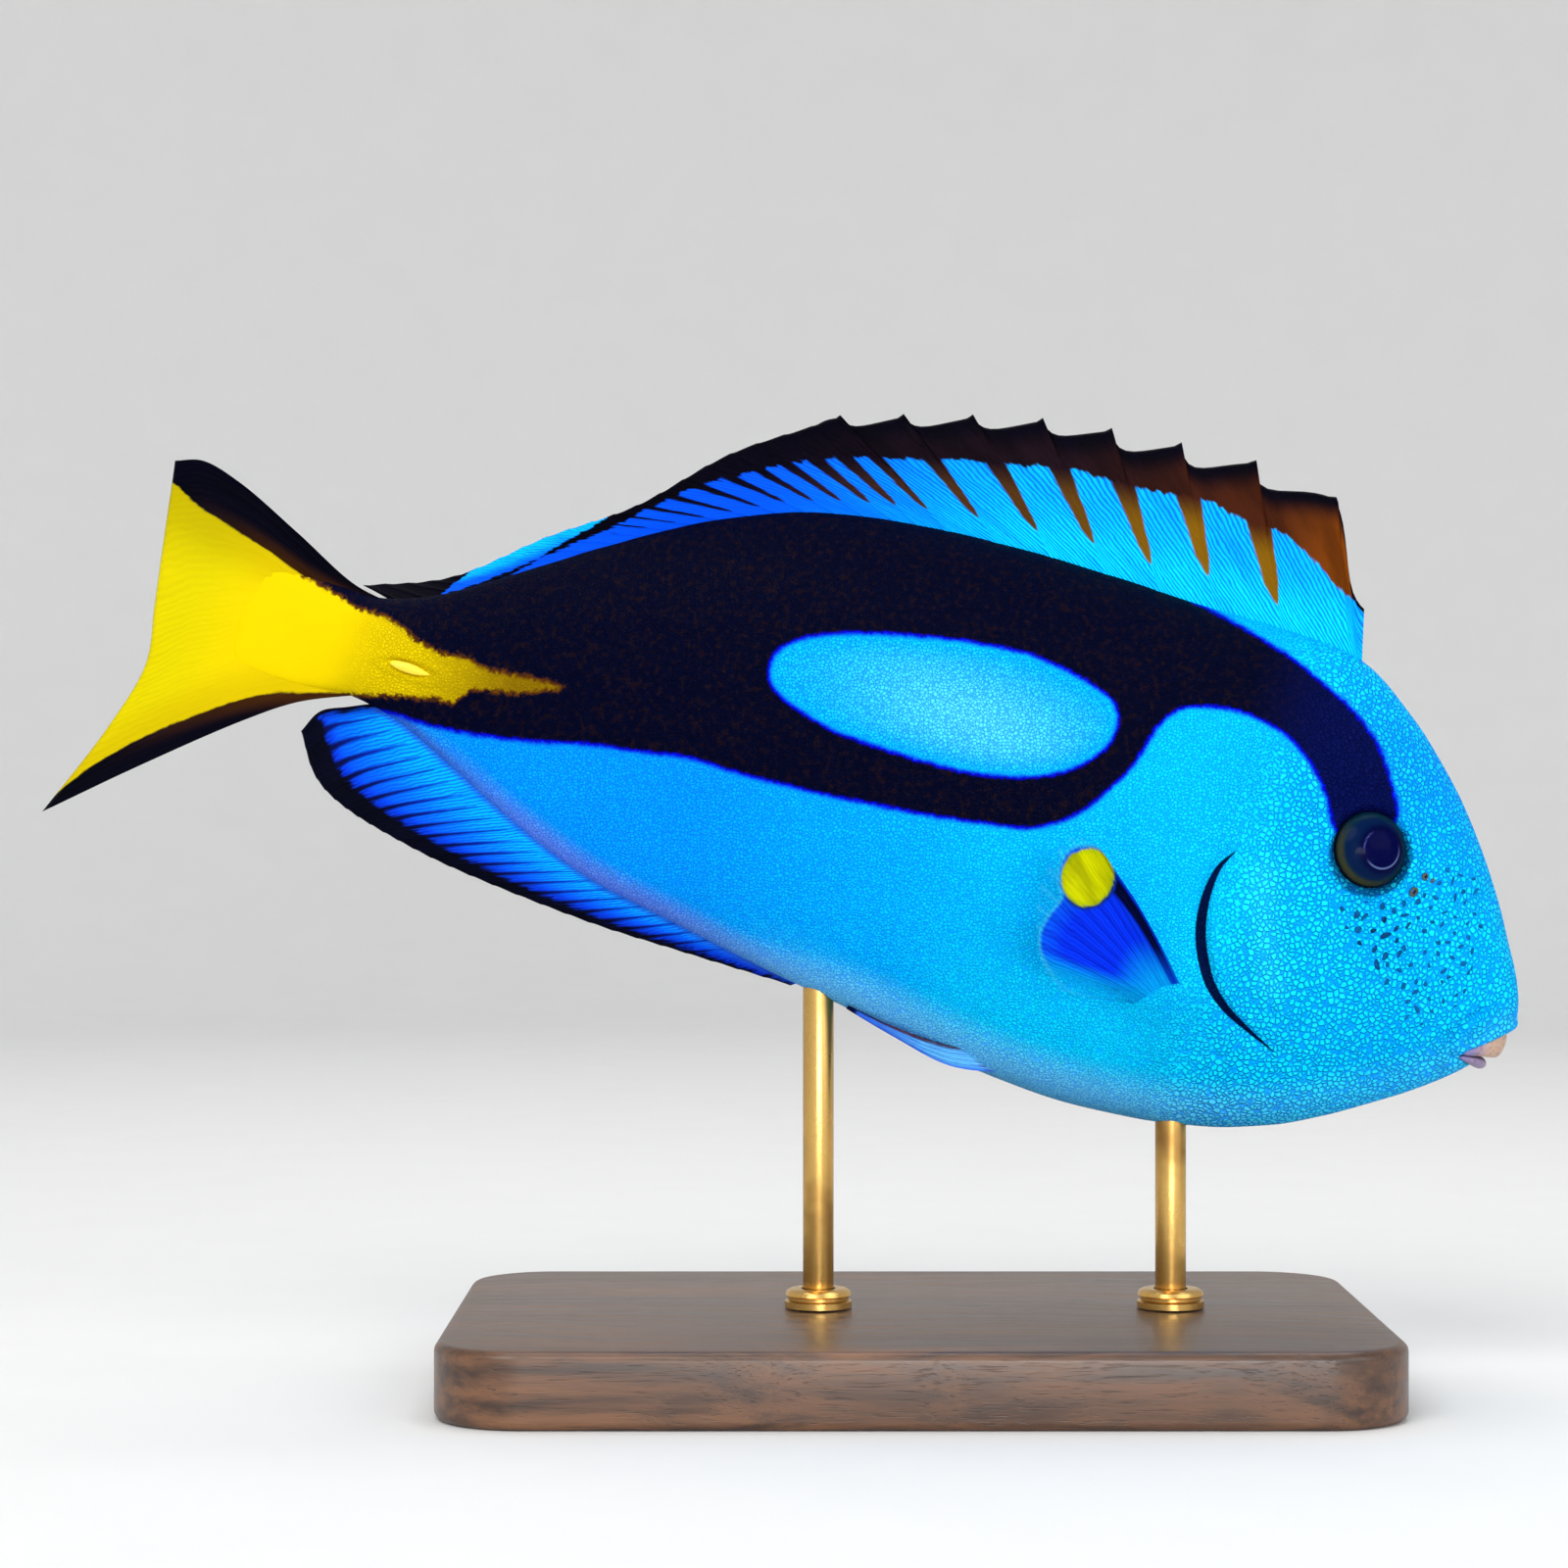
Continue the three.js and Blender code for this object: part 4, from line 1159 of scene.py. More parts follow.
@dataclass
class Skin:
    """The one skin of head, jaw, gill covers, trunk and tail stalk.

    Attributes:
        turns: points round a section.
        rings: sections from the snout to the tail.
        tail_end_x: where the stalk closes, inside the tail fin.
        close_from: the share of the length after which the stalk closes.
        nose, middle: the share of the rings and the distance behind the snout at which each stretch of them ends.
        eye_rim, eye_furrow, eye_socket: the forms round the eye, over the distance from its middle.
        gill_line: the rear edge of the gill cover, on the solid.
        gill_flap, gill_slit: the raised edge ahead of that line and the slit behind it.
        cheek_centre: the middle of the gill cover, which tells ahead of the line from behind it.
        cheek_line, cheek_ridge: the faint ridge of the bone ahead of the line.
        gape: the outline of the open mouth, in the side view.
        gape_hollow, lip_swell: the gape's depth and the lips round it.
        fold_line, fold_crease, fold_swell: the fold behind the mouth's corner.
        nostrils, nostril_rim: [x, z, radius] of each nostril, and its rim.
        nostril_depth, nostril_floor: how deep a nostril is, and the radius of its floor.
        groove_half: half the length and half the height of the tail spine's groove.
        groove_rim, groove_hollow: its forms, over the distance as a share of those.
        fin_base, fin_base_swell: the pectoral fin's fleshy base, in the side view.
        wrinkle_centre: the middle of the folds in arcs round that base.
        cheek_light: a painted highlight, the pale crescent ahead of the gill opening, as it is seen.
        seen_eye: the eye's middle, as it is seen.
    """

    turns: int = 288
    rings: int = 320
    tail_end_x: float = -22.4
    close_from: float = 0.99
    nose: tuple[float, float] = (0.12, 5.0)
    middle: tuple[float, float] = (0.5, 62.0)
    eye_rim: Ridge = Ridge(0.55, 7.5, 1.1)
    eye_furrow: Ridge = Ridge(-0.35, 9.6, 1.6)
    eye_socket: Hollow = Hollow(1.8, 6.9, 5.4)
    gill_line: Points = (
        (144.5, 12.8), (142.4, 9.2), (141.9, 4.5), (143.0, -1.2), (146.2, -7.6), (151.6, -13.2), (161.0, -16.6),
    )
    gill_flap: Ridge = Ridge(0.5, 1.4, 1.6)
    gill_slit: Ridge = Ridge(-1.25, 0.0, 1.15)
    cheek_centre: tuple[float, float] = (165.0, 2.0)
    cheek_line: Points = ((147.5, 20.0), (148.6, 14.0), (150.2, 5.2), (154.8, -5.9), (160.5, -10.5))
    cheek_ridge: Ridge = Ridge(0.3, 0.0, 2.0)
    gape: Points = ((190.0, -8.0), (199.2, -0.1), (203.0, -5.0), (194.6, -9.6))
    gape_hollow: Hollow = Hollow(2.6, -0.1, 0.7)
    lip_swell: Ridge = Ridge(0.4, -0.6, 0.6)
    fold_line: Points = ((190.8, -0.2), (188.6, -2.8), (187.5, -5.6), (187.9, -7.6), (189.4, -8.8))
    fold_crease: Ridge = Ridge(-0.5, 0.0, 0.6)
    fold_swell: Ridge = Ridge(0.28, 1.3, 0.9)
    cheek_light: Points = ((151.6, 10.0), (153.2, 4.5), (155.6, -1.5), (158.4, -6.5))
    seen_eye: tuple[float, float] = (167.0, 18.4)
    nostrils: Points = ((173.8, 14.7, 0.75), (174.9, 17.6, 0.5))
    nostril_rim: Ridge = Ridge(0.22, 0.35, 0.4)
    nostril_depth: float = 0.7
    nostril_floor: float = 0.2
    groove_half: tuple[float, float] = (4.6, 1.3)
    groove_rim: Ridge = Ridge(0.25, 1.25, 0.3)
    groove_hollow: Hollow = Hollow(0.5, 1.1, 0.6)
    fin_base: tuple[float, float] = (140.5, -12.8)
    fin_base_swell: Ridge = Ridge(1.1, 0.0, 5.0)
    wrinkle_centre: tuple[float, float] = (138.0, -9.0)

    def build(self) -> bpy.types.Object:
        """Models the skin and paints its attributes."""
        piece = new_ball("skin", self.turns, self.rings)
        mould(piece, self._sections(points_of(piece)))
        face_outwards(piece)
        flat = points_of(piece)
        shaped = flat + self._relief(flat)[:, None] * normals_of(piece)
        self._paint(piece, flat, shaped)
        return set_in_pose(piece, shaped)

    def _sections(self, ball: np.ndarray) -> np.ndarray:
        """Draws a ball out into the body's sections.

        Args:
            ball: the ball's points; its poles become the snout and the tail end.

        Returns:
            The same points on the body.
        """
        share = np.arccos(np.clip(ball[:, 2], -1, 1)) / math.pi
        length = BODY.snout_x - self.tail_end_x
        (nose_share, nose), (middle_share, middle) = self.nose, self.middle
        behind = np.interp(share, [nose_share, middle_share, 1.0], [nose, middle, length])
        behind = np.where(share < nose_share, nose * (share / nose_share) ** 2, behind)
        turn = np.arctan2(ball[:, 1], ball[:, 0])
        body = BODY.section(BODY.snout_x - behind, turn - 0.22 * np.sin(2 * turn))
        shut = np.sqrt(1 - np.clip((share - self.close_from) / (1 - self.close_from), 0, 1) ** 2)
        middle_z = (BODY.back(body[:, 0]) + BODY.belly(body[:, 0])) / 2
        body[:, 1] *= shut
        body[:, 2] = middle_z + (body[:, 2] - middle_z) * shut
        return body

    def _relief(self, points: np.ndarray) -> np.ndarray:
        """How far each point of the body stands out or in.

        Args:
            points: the plain body's points.

        Returns:
            Millimetres along the outward direction.
        """
        x, y, z = points.T
        side_view = points[:, [0, 2]]
        from_eye = np.hypot(x - EYE_PLACE[0], z - EYE_PLACE[1])
        on_side = soft_step(1.0, 4.0, np.abs(y))
        out = self.eye_rim.at(from_eye) - self.eye_socket.at(from_eye) + self.eye_furrow.at(from_eye)
        out += self._gill_relief(side_view) * on_side
        out += self.cheek_ridge.at(distance_to(side_view, smooth_line(self.cheek_line, 40))) * on_side
        out += self._fin_wrinkles(side_view) * on_side
        from_base = np.hypot((x - self.fin_base[0]) / 1.3, z - self.fin_base[1])
        out += self.fin_base_swell.at(from_base) * on_side
        out += self._mouth_relief(points)
        for nostril_x, nostril_z, radius in self.nostrils:
            off = np.hypot(x - nostril_x, z - nostril_z)
            out += self.nostril_rim.at(off - radius)
            out -= Hollow(self.nostril_depth, radius, self.nostril_floor).at(off)
        half_length, half_height = self.groove_half
        share = np.hypot((x - TAIL_SPINE_PLACE[0]) / half_length, (z - TAIL_SPINE_PLACE[1]) / half_height)
        out += self.groove_rim.at(share) - self.groove_hollow.at(share)
        waves = np.sin(x * 0.31 + 1.3 * np.sin(z * 0.23)) * np.sin(z * 0.37 + x * 0.11)
        return out + 0.06 * waves

    def _gill_relief(self, side_view: np.ndarray) -> np.ndarray:
        """The gill cover's raised edge and the slit behind it."""
        line = smooth_line(self.gill_line, 60)
        far = distance_to(side_view, line)
        share = along_line(side_view, line)
        lasting = np.sin(np.pi * np.clip(share, 0, 1)) ** 0.6
        nearest = line[(share * (len(line) - 1)).astype(int)]
        place_reach = np.linalg.norm(side_view - self.cheek_centre, axis=1)
        behind = place_reach > np.linalg.norm(nearest - self.cheek_centre, axis=1)
        slit, flap = self.gill_slit.at(far), self.gill_flap.at(far)
        return np.where(behind, slit, np.where(far < 0.8, slit * 0.6 + flap * 0.4, flap)) * lasting

    def _fin_wrinkles(self, side_view: np.ndarray) -> np.ndarray:
        """Faint folds in arcs ahead of and below the pectoral fin's base."""
        off = side_view - self.wrinkle_centre
        reach = np.hypot(off[:, 0], off[:, 1] * 1.25)
        turn = np.arctan2(off[:, 1], off[:, 0])
        near = soft_step(6.0, 8.0, reach) * soft_step(14.5, 10.5, reach)
        ahead = soft_step(0.2, 0.9, np.cos(turn + 0.7))
        return 0.16 * near * ahead * np.sin(reach * 4.2)

    def _gape_depth(self, points: np.ndarray) -> np.ndarray:
        """How far each point is inside the wedge of the open mouth, in the side view."""
        return depth_inside(points[:, [0, 2]], np.array(self.gape))

    def _mouth_relief(self, points: np.ndarray) -> np.ndarray:
        """Lips round the gape, a fold behind its corner, and the gape itself."""
        x, _, z = points.T
        inside = self._gape_depth(points)
        lips = self.lip_swell.at(inside) * soft_step(189.5, 192.0, x) * soft_step(-8.6, -7.6, z)
        from_fold = distance_to(points[:, [0, 2]], smooth_line(self.fold_line, 30))
        folded = self.fold_swell.at(from_fold) + self.fold_crease.at(from_fold)
        return lips + folded - self.gape_hollow.at(inside)

    def _paint(self, piece: bpy.types.Object, flat: np.ndarray, shaped: np.ndarray) -> None:
        """Gives the skin its colours and the distances to its markings.

        Args:
            piece: the skin.
            flat: the plain body's points.
            shaped: the finished points, in the fish's frame.
        """
        seen = POSE.seen(shaped)
        x, z = seen.T
        oval = MARKINGS.oval_depth(seen)
        gill, gill_width = MARKINGS.gill_place(seen)
        marks = np.column_stack([MARKINGS.band_depth(seen), MARKINGS.wedge_depth(seen), gill])
        give(piece, "marks", Kind.VECTOR, marks)
        head = soft_step(138, 156, x)
        gape = soft_step(-0.15, 0.25, self._gape_depth(flat))
        olive = soft_step(6, 27, x)
        give(piece, "areas", Kind.VECTOR, np.column_stack([head, gape, olive]))
        # How dark the gaps between granules are painted: partly outline, partly painted shade.
        contrast = np.maximum(0.68 + 0.2 * head, 0.85 * soft_step(-1.0, 1.5, oval))
        give(piece, "grain", Kind.VECTOR, np.column_stack([soft_step(6, -6, flat[:, 0]), contrast, gill_width]))
        give(piece, "tint", Kind.COLOUR, self._tint(x, z, oval))

    def _tint(self, x: np.ndarray, z: np.ndarray, oval: np.ndarray) -> np.ndarray:
        """The blues of the body, without its markings, partly painted light and shade: lighter on the head and
        underside, deeper at the rear.

        Args:
            x: how far ahead each point is seen.
            z: how high it is seen.
            oval: how far it is inside the oval.

        Returns:
            One colour for each point.
        """
        # Partly painted light over the skin's own tones: deeper towards the rear, lighter on the cheek and snout,
        # darker at the forehead's edge.
        rear = soft_step(110, 56, x)
        low_flank = 0.6 * soft_step(14, -8, z) * soft_step(60, 84, x) * soft_step(112, 94, x)
        # Partly painted light: paler towards the front of the underside, as if lit from below.
        front_belly = 0.8 * soft_step(-10, -24, z) * soft_step(100, 120, x)
        cheek = bell(np.hypot((x - 151) / 1.1, z - 1), 22)
        snout = 0.8 * bell(np.hypot(x - 186, z - 4), 16)
        forehead = 0.8 * bell(np.hypot((x - 172) / 1.6, z - 34), 12)
        # Painted highlight: a pale crescent ahead of the gill opening.
        cheek_light = 0.6 * bell(distance_to(np.column_stack([x, z]), smooth_line(self.cheek_light, 30)), 2.4)
        # The paler belly and its lavender rim: partly the belly's own tone, partly painted light from below.
        low = BODY.belly(x) - z
        belly = 0.6 * soft_step(-9, -2, low) * soft_step(70, 90, x)
        rim = low / (1 + 0.9 * soft_step(70, 100, x))
        rim_share = 0.75 * soft_step(-4.4, -0.8, rim) * soft_step(180, 128, x) * soft_step(8, 40, x)
        rim_tint = coats(paint(112, 132, 230), (soft_step(56, 95, x), paint(118, 206, 255)))
        stalk_rim = 0.6 * soft_step(-2.4, -0.6, low) * soft_step(40, 10, x)
        from_eye = np.hypot(x - self.seen_eye[0], z - self.seen_eye[1])
        oval_pale = bell(np.hypot((x - 98) / 2.4, z - 20), 7) * soft_step(0.5, 4.5, oval)
        return coats(
            paint(2, 196, 249),
            (rear, paint(1, 156, 250)),
            (low_flank, paint(1, 172, 251)),
            (front_belly, paint(4, 212, 252)),
            (cheek, paint(4, 204, 246)),
            (snout, paint(2, 202, 248)),
            (forehead, paint(6, 170, 244)),
            (cheek_light, paint(36, 228, 252)),
            (belly, paint(60, 206, 255)),
            (rim_share, rim_tint),
            (stalk_rim, paint(80, 90, 176)),
            (0.85 * soft_step(7.1, 6.5, from_eye), paint(2, 22, 78)),
            (soft_step(-0.5, 1.5, oval), paint(2, 186, 245)),
            (0.85 * oval_pale, paint(92, 222, 246)),
        )


# Eyes


@dataclass
class Eye:
    """An eyeball, flattened towards the side of the head.

    Attributes:
        side: the side of the head.
        place: its middle in the side view.
        radius, bulge, sunk: its radius, how far it stands out, and how deep its middle lies.
        pupil_ahead: how far ahead of its middle the pupil is.
    """

    side: Side
    place: tuple[float, float] = EYE_PLACE
    radius: float = 6.2
    bulge: float = 3.6
    sunk: float = 1.3
    pupil_ahead: float = 0.9

    def build(self) -> bpy.types.Object:
        """Models the eye and paints it."""
        piece = new_ball(f"eye_{self.side.word}", 128, 96)
        ball = points_of(piece) * (self.radius, self.radius, self.bulge)
        sign = self.side.value
        x, z = self.place
        out = BODY.outward(x, z, sign)
        ahead = (Vector((1, 0, 0)) - out * out.x).normalized()
        up = out.cross(ahead) * -sign
        frame = np.array([ahead, up, out])
        centre = np.array([x, sign * BODY.half_at(x, z), z]) - self.sunk * np.array(out)
        give(piece, "tint", Kind.COLOUR, self._tint(ball))
        return set_in_pose(piece, centre + ball @ frame)

    def _tint(self, ball: np.ndarray) -> np.ndarray:
        """Colours of the ball: pupil, iris, rings, the golden edge and two painted highlight arcs.

        Args:
            ball: its points, x ahead, y up and z out of the head.

        Returns:
            One colour for each point.
        """
        x, y, _ = ball.T
        from_pupil = np.hypot(x - self.pupil_ahead, y - 0.2)
        from_middle = np.hypot(x, y)
        turn = np.arctan2(y, x)
        low_rear = soft_step(-0.1, 0.9, np.cos(turn - math.radians(235)))
        # Painted highlights: two thin pale arcs round the pupil.
        glint = bell(from_pupil - 3.1, 0.1) * soft_step(0.2, 0.9, np.cos(turn - math.radians(-45)))
        second_glint = bell(from_pupil - 3.1, 0.09) * soft_step(0.6, 0.97, np.cos(turn - math.radians(165)))
        return coats(
            paint(1, 3, 46),
            (soft_step(3.3, 4.6, from_pupil), paint(3, 22, 58)),
            (soft_step(4.6, 5.3, from_middle), paint(5, 34, 50)),
            (0.7 * low_rear * soft_step(4.9, 5.5, from_middle), paint(58, 58, 24)),
            (soft_step(5.75, 6.1, from_middle), paint(2, 14, 26)),
            (0.75 * glint, paint(110, 130, 190)),
            (0.5 * second_glint, paint(80, 90, 170)),
            (soft_step(3.0, 2.8, from_pupil), paint(1, 2, 52)),
        )


@dataclass
class Lips:
    """The bare lips, which fill the gape from corner to corner round the snout.

    Attributes:
        corner: [x, z] of the mouth's corner.
        half_mouth: how far the corners are from the middle plane.
        upper, lower: [x, z, half height, half depth] of each lip at the front.
        ends: the half height and half depth of both lips at the corner.
    """

    corner: tuple[float, float] = (189.9, -8.0)
    half_mouth: float = 5.1
    upper: tuple[float, float, float, float] = (196.2, -4.1, 2.6, 1.2)
    lower: tuple[float, float, float, float] = (194.2, -8.2, 1.0, 1.2)
    ends: tuple[float, float] = (0.35, 0.4)

    def build(self) -> bpy.types.Object:
        """Models both lips as one piece."""
        beads = [self._bead("upper_lip", self.upper, 0.1, 0.0), self._bead("lower_lip", self.lower, -0.35, 0.8)]
        piece = join(beads, "lips")
        face_outwards(piece)
        return piece

    def _bead(
        self, name: str, front: tuple[float, float, float, float], drop: float, violet: float
    ) -> bpy.types.Object:
        """Models one lip as a bead that tapers to both corners.

        Args:
            name: its name.
            front: [x, z, half height, half depth] at the front.
            drop: how far its ends are over the mouth's corner.
            violet: how violet it is at the front.

        Returns:
            The bead.
        """
        piece = new_ball(name, 32, 72)
        ball = points_of(piece)
        turn = np.arccos(np.clip(ball[:, 2], -1, 1))
        round_it = np.hypot(ball[:, 0], ball[:, 1])
        up, out = ball[:, 1] / np.maximum(round_it, 1e-6), ball[:, 0] / np.maximum(round_it, 1e-6)
        forward = np.sin(turn)
        closed = np.minimum(1.0, round_it * 6)
        height = (self.ends[0] + (front[2] - self.ends[0]) * forward**1.3) * closed
        depth = (self.ends[1] + (front[3] - self.ends[1]) * forward) * closed
        reach, side = front[0] - self.corner[0], np.cos(turn) * self.half_mouth
        away_x, away_y = self.half_mouth * forward, reach * np.cos(turn)
        away = np.hypot(away_x, away_y)
        corner_z = self.corner[1] + drop
        points = np.column_stack(
            [
                self.corner[0] + reach * forward + out * depth * away_x / away,
                side + out * depth * away_y / away,
                corner_z + (front[1] - corner_z) * forward + up * height,
            ]
        )
        give(piece, "corner", Kind.NUMBER, np.maximum(soft_step(0.75, 0.2, forward), violet))
        mould(piece, POSE.place(points) * MM)
        return piece


@dataclass
class SkinSpots:
    """Small flat spots that lie on one side of the head.

    Attributes:
        side: the side of the head.
    """

    side: Side

    def spot(
        self, x: float, z: float, half: tuple[float, float], turn: float, colour: Colour, rough: float, rise: float
    ) -> bpy.types.Object:
        """Models one spot on the skin.

        Args:
            x: its place in the side view.
            z: its height there.
            half: half its length and half its width.
            turn: how far it is turned from level.
            colour: its colour.
            rough: how uneven its outline is.
            rise: how far it stands out of the skin.

        Returns:
            The spot, in the fish's frame.
        """
        piece = new_ball("spot", 12, 8)
        ball = points_of(piece)
        around = np.arctan2(ball[:, 1], ball[:, 0])
        uneven = 1 + rough * (np.sin(2 * around + 7 * x) + 0.7 * np.sin(3 * around + 5 * z))
        along, across = ball[:, 0] * half[0] * uneven, ball[:, 1] * half[1] * uneven
        px = x + along * math.cos(turn) - across * math.sin(turn)
        pz = z + along * math.sin(turn) + across * math.cos(turn)
        out = np.array(BODY.outward(x, z, self.side.value))
        base = np.column_stack([px, self.side.value * BODY.side(px, pz), pz])
        give(piece, "tint", Kind.COLOUR, fill(colour, len(ball)))
        mould(piece, base + (ball[:, 2:3] * rise * 2 - rise * 0.4) * out)
        return piece

    def joined(self, name: str, spots: Sequence[bpy.types.Object]) -> bpy.types.Object:
        """Joins spots into one piece and poses it.

        Args:
            name: the piece's name, without its side.
            spots: the spots.

        Returns:
            The piece.
        """
        piece = join(spots, f"{name}_{self.side.word}")
        return set_in_pose(piece, points_of(piece))


@dataclass
class Nostrils(SkinSpots):
    """The two brown-rimmed nostrils of one side.

    Attributes:
        rims, pits: [x, z, half length, half width] of each rim and of each opening, painted dark as the shade
            inside it.
        turn: how far they are turned from level.
        rim_rise, pit_rise: how far they stand out of the skin.
        rim_colour, pit_colour: their colours.
    """

    rims: Points = ((173.8, 14.7, 0.95, 0.62), (174.9, 17.6, 0.7, 0.5), (176.3, 17.4, 0.45, 0.35))
    pits: Points = ((173.8, 14.7, 0.6, 0.32), (174.9, 17.6, 0.45, 0.28))
    turn: float = math.radians(75)
    rim_rise: float = 0.16
    pit_rise: float = 0.22
    rim_colour: Colour = paint(74, 78, 66)
    pit_colour: Colour = paint(22, 16, 22)

    def build(self) -> bpy.types.Object:
        """Models the rims with the openings in them."""
        kinds = (
            (self.rims, self.rim_colour, 0.08, self.rim_rise),
            # The openings: dark spots of painted shade inside the nostrils.
            (self.pits, self.pit_colour, 0.05, self.pit_rise),
        )
        spots = [
            self.spot(x, z, (half_length, half_width), self.turn, colour, rough, rise)
            for places, colour, rough, rise in kinds
            for x, z, half_length, half_width in places
        ]
        return self.joined("nostrils", spots)


@dataclass
class FaceDashes(SkinSpots):
    """The short dark dashes scattered between the granules of the snout and cheek.

    Attributes:
        region: the outline that they fill, in the side view.
        spacing: how far apart they are.
        half_length, half_width, rise: their sizes.
        jitter: how far each wanders from its place on the grid.
        seed: what the scatter starts from.
    """

    region: Points = (
        (163.6, 9.4), (167.6, 11.6), (173.0, 12.4), (177.2, 19.4), (180.4, 22.0), (183.6, 18.8), (186.6, 12.0),
        (187.4, 4.7), (186.2, -1.6), (182.6, -4.8), (179.0, -4.4), (175.2, -1.2), (170.6, 1.6), (166.0, 4.4),
    )
    spacing: float = 2.25
    half_length: float = 0.56
    half_width: float = 0.35
    rise: float = 0.07
    jitter: float = 0.42
    seed: int = 11

    def build(self) -> bpy.types.Object:
        """Scatters the dashes over the region."""
        draw = np.random.default_rng(self.seed)
        outline = smooth_line(self.region, 80, closed=True)
        low, high = outline.min(0), outline.max(0)
        rows, columns = ((high - low)[::-1] / self.spacing).astype(int) + 2
        grid = [(column + 0.5 * (row % 2), row) for row in range(rows) for column in range(columns)]
        places = low + np.array(grid) * self.spacing + draw.normal(0, self.jitter, (len(grid), 2))
        places = places[depth_inside(places, outline) > -0.3]
        return self.joined("face_dashes", [self._dash(float(x), float(z), draw) for x, z in places])

    def _dash(self, x: float, z: float, draw: np.random.Generator) -> bpy.types.Object:
        """Models one dash, larger and darker under the eye.

        Args:
            x: its place in the side view.
            z: its height there.
            draw: the seeded source of its size, turn and tone.

        Returns:
            The dash.
        """
        near_eye = math.exp(-(((x - 171) / 7) ** 2 + ((z - 7) / 6) ** 2))
        long = self.half_length * (0.8 + 0.45 * near_eye) * math.exp(0.26 * float(draw.normal()))
        wide = self.half_width * (0.85 + 0.3 * near_eye) * math.exp(0.2 * float(draw.normal()))
        turn = float(draw.normal(math.radians(62), 0.7))
        tone = float(np.clip(0.25 + 0.55 * (1 - near_eye) + 0.15 * draw.normal(), 0, 1))
        dark, pale = np.array(paint(4, 34, 74)), np.array(paint(6, 92, 150))
        colour = tuple(dark * (1 - tone) + pale * tone)
        return self.spot(x, z, (max(long, wide), wide), turn, colour, 0.14, self.rise)


# Fins


def dip_shape(share: np.ndarray) -> np.ndarray:
    """The dip of a membrane between two ray tips, 1 where it is deepest, close before the second tip."""
    power = 6.0
    deepest = (1 / (power + 1)) ** (1 / power)
    return share * (1 - share**power) / (deepest * (1 - deepest**power))


